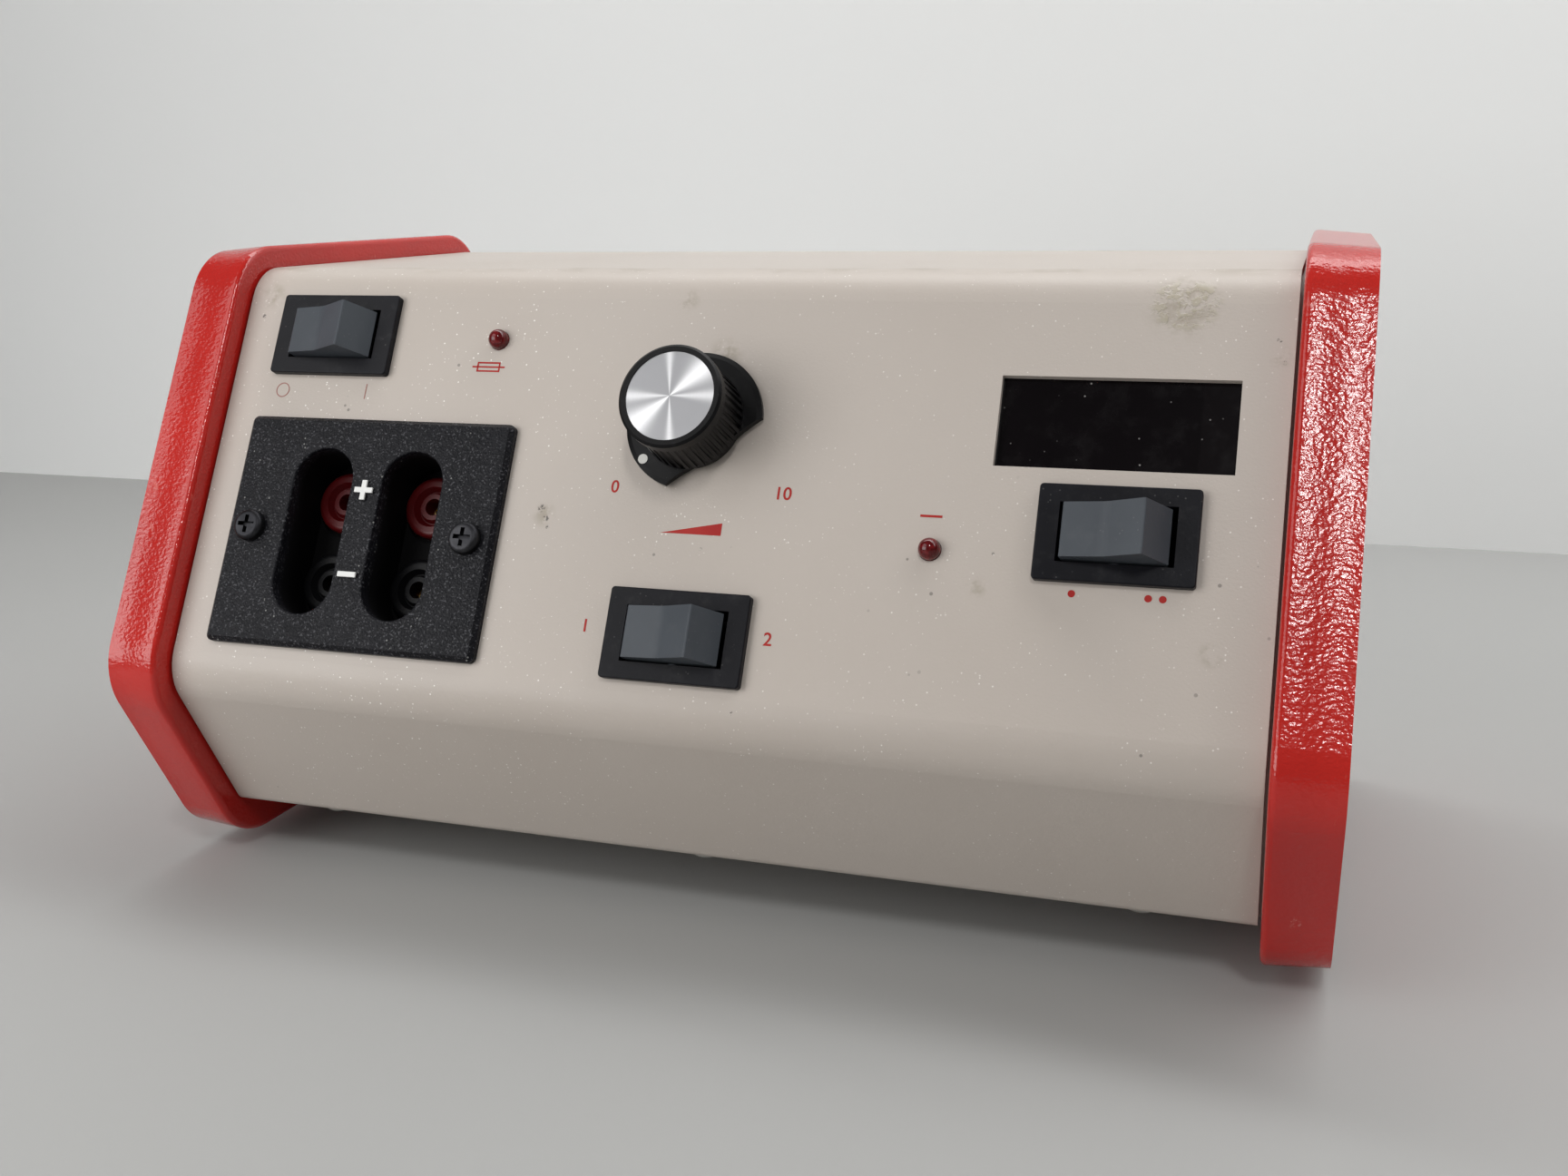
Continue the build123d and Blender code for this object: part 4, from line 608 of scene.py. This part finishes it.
@dataclass(frozen=True)
class Smoked:
    """The readout's dark sheet, with a little dust, a faint film and a lighter strip along its right edge."""

    name: str = "smoked_sheet"
    base: Colour = (0.0034, 0.0024, 0.0030)
    haze: Colour = (0.0080, 0.0062, 0.0068)

    def build(self) -> bpy.types.Material:
        """Builds the material."""
        net = Net(self.name, Coords.PANEL)
        motes = net.specks(420.0, 0.11, 0.07)
        dust = motes * net.noise(80.0, 2.0).rise(0.52, 0.6)
        edge = net.axis(0).rise(114.0 * MM, 114.6 * MM)
        film = net.noise(160.0, 4.0, 0.6).rise(0.45, 0.8)
        colour = net.mix(edge * 0.35 + film * 0.3, self.base, self.haze)
        colour = net.mix(dust * 0.6, colour, (0.35, 0.34, 0.33))
        return net.finish(colour, 0.18 + film * 0.12 + dust * 0.3, Specular_IOR_Level=0.12)


@dataclass(frozen=True)
class Layered:
    """Stacked laminations, wound turns or board copper: lines along one axis."""

    name: str
    base: Colour
    line: Colour
    per_metre: float
    direction: int
    roughness: float = 0.5
    metallic: float = 0.0

    def build(self) -> bpy.types.Material:
        """Builds the material."""
        net = Net(self.name)
        stripe = (net.axis(self.direction) * (self.per_metre * math.tau)).wave() * 0.5 + 0.5
        mottled = net.noise(120.0, 3.0).rise(0.35, 0.7) * 0.4
        colour = net.mix((stripe * 0.6 + mottled).least(1.0), self.base, self.line)
        return net.finish(colour, self.roughness + stripe * 0.1, Metallic=self.metallic,
                          Normal=net.bump(stripe, 0.0001, 0.5))


FINISHES: dict[str, object] = {
    "case": CasePaint(),
    "cheek": CheekPaint(),
    "terminal": Pebbled(),
    "disc": SpunDisc(),
    "lens": Lens(),
    "smoked": Smoked(),
    "bezel": Moulded("bezel_moulding", (0.0052, 0.0052, 0.0074), (0.0070, 0.0071, 0.0098),
                     0.40, 1600.0, 0.00005, 0.5, 0.12, 0.15),
    "rocker": Moulded("rocker_moulding", (0.058, 0.066, 0.077), (0.067, 0.076, 0.088),
                      0.45, 1800.0, 0.00004, 0.45, 0.10, 0.25),
    "knob": Moulded("knob_moulding", (0.0050, 0.0048, 0.0052), (0.0080, 0.0078, 0.0082),
                    0.30, 1500.0, 0.00004, 0.4, 0.08, 0.12),
    "white": Moulded("white_moulding", (0.78, 0.77, 0.73), (0.70, 0.69, 0.65), 0.4),
    "nylon": Moulded("black_nylon", (0.016, 0.016, 0.017), (0.024, 0.024, 0.025), 0.42, 1300.0),
    "rubber": Moulded("foot_rubber", (0.022, 0.022, 0.022), (0.034, 0.033, 0.032),
                      0.75, 700.0, 0.00012, 0.6),
    "socket_red": Moulded("socket_red", (0.090, 0.004, 0.005), (0.070, 0.003, 0.004),
                          0.32, 1200.0, 0.00003, 0.3, 0.0, 0.3),
    "socket_black": Moulded("socket_black", (0.0040, 0.0040, 0.0048), (0.0060, 0.0060, 0.0068),
                            0.32, 1200.0, 0.00003, 0.3, 0.0, 0.15),
    "print": Moulded("print_red", (0.36, 0.016, 0.014), (0.42, 0.028, 0.022),
                     0.45, 1400.0, 0.00003, 0.4, 0.0, 0.2),
    "print_faint": Moulded("print_faint", (0.30, 0.120, 0.095), (0.36, 0.170, 0.140),
                           0.45, 1400.0, 0.00003, 0.4),
    "digit": Moulded("digit_face", (0.045, 0.044, 0.046), (0.060, 0.058, 0.060), 0.5),
    "lead": Moulded("lead_insulation", (0.30, 0.30, 0.31), (0.24, 0.24, 0.25), 0.5),
    "glass": Moulded("fuse_glass", (0.62, 0.66, 0.64), (0.70, 0.73, 0.71), 0.08),
    "black_steel": Metal("blackened_steel", (0.026, 0.026, 0.029), (0.050, 0.050, 0.054), 0.46),
    "zinc": Metal("zinc_plate", (0.62, 0.61, 0.58), (0.52, 0.51, 0.47), 0.34),
    "shaft": Metal("turned_shaft", (0.72, 0.72, 0.73), (0.64, 0.64, 0.65), 0.28),
    "brass": Metal("brass_plate", (0.70, 0.50, 0.20), (0.60, 0.41, 0.15), 0.28),
    "sink": Metal("black_anodised", (0.030, 0.030, 0.033), (0.045, 0.045, 0.050), 0.5, (1.0, 1.0, 0.1)),
    "can": Moulded("can_sleeve", (0.020, 0.035, 0.110), (0.030, 0.050, 0.140), 0.3),
    "core": Layered("core_laminations", (0.10, 0.085, 0.07), (0.045, 0.040, 0.036), 900.0, 1, 0.45, 0.6),
    "coil": Layered("coil_tape", (0.52, 0.36, 0.09), (0.40, 0.26, 0.06), 180.0, 2, 0.4),
    "board": Layered("board_green", (0.020, 0.120, 0.045), (0.035, 0.170, 0.065), 240.0, 0, 0.35),
}


class Wardrobe:
    """Builds each finish once and puts it on nodes and pieces."""

    def __init__(self) -> None:
        """Starts with nothing built."""
        self.made: dict[str, bpy.types.Material] = {}

    def material(self, key: str) -> bpy.types.Material:
        """The material of a finish, built on its first use."""
        if key not in self.made:
            self.made[key] = FINISHES[key].build()
        return self.made[key]

    def dress(self, thing: bpy.types.Object, key: str) -> None:
        """Gives an object one finish all over."""
        thing.data.materials.clear()
        thing.data.materials.append(self.material(key))

    def node(self, name: str, key: str) -> None:
        """Dresses a node of the frame."""
        self.dress(frame["nodes"][name], key)
        log.info("%s dressed in %s", name, key)


def solid(name: str, build: Callable[[bmesh.types.BMesh], None], body: str) -> bpy.types.Object:
    """Makes a mesh piece and lets it ride on a body.

    Args:
        name: the piece's name.
        build: fills the mesh.
        body: the body it moves with.

    Returns:
        The new object.
    """
    mesh = bpy.data.meshes.new(name)
    work = bmesh.new()
    build(work)
    bmesh.ops.recalc_face_normals(work, faces=work.faces)
    work.to_mesh(mesh)
    work.free()
    made = bpy.data.objects.new(name, mesh)
    bpy.context.scene.collection.objects.link(made)
    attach(made, body)
    return made


@dataclass
class PanelPrint:
    """Generic marks printed on the panel: switch signs, dial numbers and plain dots."""

    film: float = 0.05
    stroke: float = 0.42
    letter: float = 4.3
    off_spot: tuple[float, float] = (-116.8, 21.6)
    off_radius: float = 2.0
    on_spot: tuple[float, float] = (-92.1, 21.8)
    on_height: float = 4.0
    dial_spot: tuple[float, float] = (2.0, -9.2)
    dial_size: tuple[float, float] = (15.0, 3.0)
    fuse_spot: tuple[float, float] = (-58.4, 29.2)
    fuse_wire: float = 9.0
    fuse_half: tuple[float, float] = (3.2, 1.3)
    current_spot: tuple[float, float] = (58.2, -3.4)
    current_length: float = 5.0
    readout_v: float = -18.9
    readout_dots: tuple[tuple[float, int], ...] = ((90.5, 1), (108.0, 2))
    dot_pitch: float = 3.0
    dot_radius: float = 0.8
    body: str = "housing"
    slot: str = "red_paint"
    numbers: dict[str, tuple[str, float, float]] = field(default_factory=lambda: {
        "dial_low": ("0", -18.8, -0.25), "dial_high": ("10", 23.1, 0.0),
        "range_low": ("1", -20.5, -34.2), "range_high": ("2", 24.4, -34.1)})

    def outline(self, name: str, loops: list[list[tuple[float, float]]]) -> bpy.types.Object:
        """A flat printed shape from an outer loop and an optional inner loop.

        Args:
            name: the piece's name.
            loops: one or two closed loops of panel points in millimetres, of equal length if two.

        Returns:
            The printed piece.
        """
        def fill(work: bmesh.types.BMesh) -> None:
            """Makes the film's faces."""
            layers = []
            for height in (0.0, self.film):
                layers.append([[work.verts.new(PANEL.at(x, v, height)) for x, v in loop] for loop in loops])
            count = len(loops[0])
            for low, high in zip(*layers):
                for step in range(count):
                    after = (step + 1) % count
                    work.faces.new((low[step], low[after], high[after], high[step]))
            for layer in layers:
                if len(layer) == 1:
                    work.faces.new(layer[0])
                    continue
                for step in range(count):
                    after = (step + 1) % count
                    work.faces.new((layer[0][step], layer[0][after], layer[1][after], layer[1][step]))

        return solid(name, fill, self.body)

    def ring(self, name: str, x: float, v: float, radius: float) -> bpy.types.Object:
        """A printed circle line."""
        turns = [math.tau * step / 48 for step in range(48)]
        loops = [[(x + r * math.cos(a), v + r * math.sin(a)) for a in turns]
                 for r in (radius, radius - self.stroke * 0.7)]
        return self.outline(name, loops)

    def bar(self, name: str, x: float, v: float, length: float, height: float) -> bpy.types.Object:
        """A printed bar."""
        half, tall = length / 2, height / 2
        corners = [(x - half, v - tall), (x + half, v - tall), (x + half, v + tall), (x - half, v + tall)]
        return self.outline(name, [corners])

    def wedge(self, name: str, x: float, v: float, length: float, height: float) -> bpy.types.Object:
        """A printed wedge that grows to the right, for a dial that raises something."""
        half, tall = length / 2, height / 2
        return self.outline(name, [[(x - half, v - tall), (x + half, v - tall), (x + half, v + tall)]])

    def number(self, name: str, text: str, x: float, v: float) -> bpy.types.Object:
        """A printed number."""
        curve = bpy.data.curves.new(name, "FONT")
        curve.body = text
        curve.size = self.letter * MM
        curve.align_x = "CENTER"
        curve.align_y = "CENTER"
        curve.extrude = self.film * MM / 2
        curve.offset = 0.05 * MM
        curve.resolution_u = 8
        made = bpy.data.objects.new(name, curve)
        raised = Matrix.Translation(PANEL.out * self.film * MM / 2)
        made.matrix_world = raised @ PANEL.matrix @ Matrix.Translation((x * MM, v * MM, 0.0))
        bpy.context.scene.collection.objects.link(made)
        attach(made, self.body)
        return made

    def fuse_box(self) -> bpy.types.Object:
        """The box of the fuse sign."""
        x, v = self.fuse_spot
        wide, tall = self.fuse_half
        loops = []
        for inset in (0.0, self.stroke):
            corners = ((-1, -1), (1, -1), (1, 1), (-1, 1))
            loops.append([(x + sx * (wide - inset), v + sv * (tall - inset)) for sx, sv in corners])
        return self.outline("mark_fuse_box", loops)

    def dots(self) -> list[bpy.types.Object]:
        """One dot and two dots below the readout switch."""
        made = []
        turns = [math.tau * step / 24 for step in range(24)]
        for x, count in self.readout_dots:
            for number in range(count):
                middle = x + (number - (count - 1) / 2) * self.dot_pitch
                radius = self.dot_radius
                dot = [(middle + radius * math.cos(a), self.readout_v + radius * math.sin(a)) for a in turns]
                made.append(self.outline(f"mark_readout_{count}_{number}", [dot]))
        return made

    def build(self, wardrobe: Wardrobe) -> None:
        """Prints every mark."""
        off = self.ring("mark_off", *self.off_spot, self.off_radius)
        on = self.bar("mark_on", *self.on_spot, self.stroke * 0.7, self.on_height)
        for made in (off, on):
            wardrobe.dress(made, "print_faint")
        prints = [self.wedge("mark_dial", *self.dial_spot, *self.dial_size),
                  self.bar("mark_fuse_line", *self.fuse_spot, self.fuse_wire, self.stroke),
                  self.bar("mark_current_line", *self.current_spot, self.current_length, self.stroke * 1.3),
                  self.fuse_box(), *self.dots()]
        for name, (text, x, v) in self.numbers.items():
            prints.append(self.number("mark_" + name, text, x, v))
        for made in prints:
            wardrobe.dress(made, "print")
            log.info("%s printed", made.name)


@dataclass
class Case:
    """The cheeks, cover, tray, feet and their fasteners."""

    plan: dict[str, str] = field(default_factory=lambda: {
        "left_cheek": "cheek", "right_cheek": "cheek", "front_cover": "case", "chassis_tray": "case",
        "cheek_screws": "zinc", "cover_screws": "zinc", "rubber_feet": "rubber", "foot_screws": "zinc"})

    def build(self, wardrobe: Wardrobe) -> None:
        """Dresses the case."""
        for name, key in self.plan.items():
            wardrobe.node(name, key)


@dataclass
class Controls:
    """Switches, lamps, knob and readout."""

    switches: tuple[str, ...] = ("power", "range", "readout")
    plan: dict[str, str] = field(default_factory=lambda: {
        "fuse_lamp": "lens", "current_lamp": "lens", "lamp_clips": "nylon", "voltage_knob": "knob",
        "knob_disc": "disc", "pointer_dot": "white", "knob_set_screw": "black_steel",
        "potentiometer_shaft": "shaft", "potentiometer_body": "zinc", "potentiometer_nut": "zinc",
        "display_filter": "smoked", "display_digits": "digit", "display_board": "board",
        "display_pillars": "brass", "readout_plug": "white", "readout_lead": "lead"})

    def build(self, wardrobe: Wardrobe) -> None:
        """Dresses the controls."""
        for name in self.switches:
            wardrobe.node(name + "_switch_housing", "bezel")
            wardrobe.node(name + "_rocker", "rocker")
            wardrobe.node(name + "_switch_tabs", "brass")
        for name, key in self.plan.items():
            wardrobe.node(name, key)


@dataclass
class Outputs:
    """The output moulding with its sockets and screws."""

    plan: dict[str, str] = field(default_factory=lambda: {
        "terminal_block": "terminal", "terminal_screws": "black_steel", "terminal_nuts": "zinc",
        "left_red_socket": "socket_red", "right_red_socket": "socket_red",
        "left_black_socket": "socket_black", "right_black_socket": "socket_black",
        "socket_contacts": "brass", "socket_nuts": "brass"})

    def build(self, wardrobe: Wardrobe) -> None:
        """Dresses the outputs."""
        for name, key in self.plan.items():
            wardrobe.node(name, key)


@dataclass
class RearAndInside:
    """The mains inlet, the fuse holder and what stands inside the case."""

    plan: dict[str, str] = field(default_factory=lambda: {
        "mains_inlet": "nylon", "inlet_pins": "brass", "inlet_screws": "zinc", "fuse_holder": "nylon",
        "fuse_holder_nut": "nylon", "fuse_cap": "nylon", "fuse_cartridge": "glass",
        "transformer_core": "core", "transformer_coil": "coil", "transformer_brackets": "zinc",
        "transformer_bolts": "zinc", "main_board": "board", "board_standoffs": "brass",
        "reservoir_capacitors": "can", "heat_sink": "sink",
        "power_transistors": "nylon", "board_header": "white"})

    def build(self, wardrobe: Wardrobe) -> None:
        """Dresses the rear and the inside."""
        for name, key in self.plan.items():
            wardrobe.node(name, key)


@dataclass(frozen=True)
class Lamp:
    """A soft rectangular lamp: its place, the point it faces, its size in metres and its power."""

    name: str
    spot: tuple[float, float, float]
    aim: tuple[float, float, float]
    size: tuple[float, float]
    watts: float

    def build(self) -> None:
        """Hangs the lamp."""
        light = bpy.data.lights.new(self.name, "AREA")
        light.shape = "RECTANGLE"
        light.size, light.size_y = self.size
        light.energy = self.watts
        made = bpy.data.objects.new(self.name, light)
        made.location = self.spot
        toward = Vector(self.aim) - Vector(self.spot)
        made.rotation_euler = toward.to_track_quat("-Z", "Y").to_euler()
        bpy.context.scene.collection.objects.link(made)


@dataclass
class Studio:
    """The bench, the wall behind it, the lamps and the camera."""

    camera_spot: tuple[float, float, float] = (137.56, -393.463, 174.236)
    camera_turn: tuple[float, float, float] = (75.8234, 0.8455, 18.6435)
    lens: float = 36.2
    bench: Colour = (0.375, 0.375, 0.366)
    wall: Colour = (0.93, 0.94, 0.93)
    wall_y: float = 0.42
    wall_height: float = 3.0
    reach: float = 4.0
    near_y: float = -3.0
    sky: Colour = (1.0, 0.995, 0.985)
    world: float = 0.135
    lamps: tuple[Lamp, ...] = (
        Lamp("key_panel", (-0.44, -0.46, 0.58), (0.0, 0.0, 0.1), (0.5, 0.45), 1.42),
        Lamp("left_fill", (-0.48, -0.63, 0.26), (0.0, 0.0, 0.07), (0.6, 0.35), 2.65),
        Lamp("back_panel", (0.25, 0.24, 1.10), (0.30, 0.42, 0.75), (3.2, 0.35), 20.5),
        Lamp("sheen_strip", (0.417, -1.10, 1.29), (0.14, -0.06, 0.11), (0.07, 0.32), 5.2))

    def surface(self, name: str, colour: Colour, corners: list[tuple[float, float, float]]) -> None:
        """A plain pale stage surface.

        Args:
            name: the surface's name.
            colour: its colour.
            corners: its corners in metres.
        """
        mesh = bpy.data.meshes.new(name)
        mesh.from_pydata(corners, [], [tuple(range(len(corners)))])
        made = bpy.data.objects.new(name, mesh)
        bpy.context.scene.collection.objects.link(made)
        net = Net(name)
        mottled = net.mix(net.noise(3.0, 2.0) * 0.1, colour, (0.7, 0.7, 0.7))
        mesh.materials.append(net.finish(mottled, 0.6, Specular_IOR_Level=0.3))

    def camera(self) -> None:
        """The photograph's camera."""
        lens = bpy.data.cameras.new("camera")
        lens.sensor_fit = "HORIZONTAL"
        lens.sensor_width = 36.0
        lens.lens = self.lens
        lens.clip_start = 0.01
        made = bpy.data.objects.new("camera", lens)
        made.location = Vector(self.camera_spot) * MM
        made.rotation_euler = Euler([math.radians(turn) for turn in self.camera_turn])
        bpy.context.scene.collection.objects.link(made)
        bpy.context.scene.camera = made

    def build(self) -> None:
        """Sets the stage."""
        left, right, back = -self.reach, self.reach, self.wall_y
        floor = [(left, self.near_y, 0), (right, self.near_y, 0), (right, back, 0), (left, back, 0)]
        self.surface("bench_top", self.bench, floor)
        high = self.wall_height
        wall = [(left, back, 0), (right, back, 0), (right, back, high), (left, back, high)]
        self.surface("back_wall", self.wall, wall)
        world = bpy.data.worlds.new("room")
        world.use_nodes = True
        background = world.node_tree.nodes["Background"]
        background.inputs["Color"].default_value = rgba(self.sky)
        background.inputs["Strength"].default_value = self.world
        bpy.context.scene.world = world
        for lamp in self.lamps:
            lamp.build()
        self.camera()
        bpy.context.scene.view_settings.view_transform = "Standard"


def main() -> None:
    """Builds the looks in order."""
    logging.basicConfig(level=logging.INFO, format="%(name)s: %(message)s")
    wardrobe = Wardrobe()
    for assembly in (Case(), Controls(), Outputs(), RearAndInside(), PanelPrint()):
        assembly.build(wardrobe)
    Studio().build()


if __name__ == "__main__":
    main()
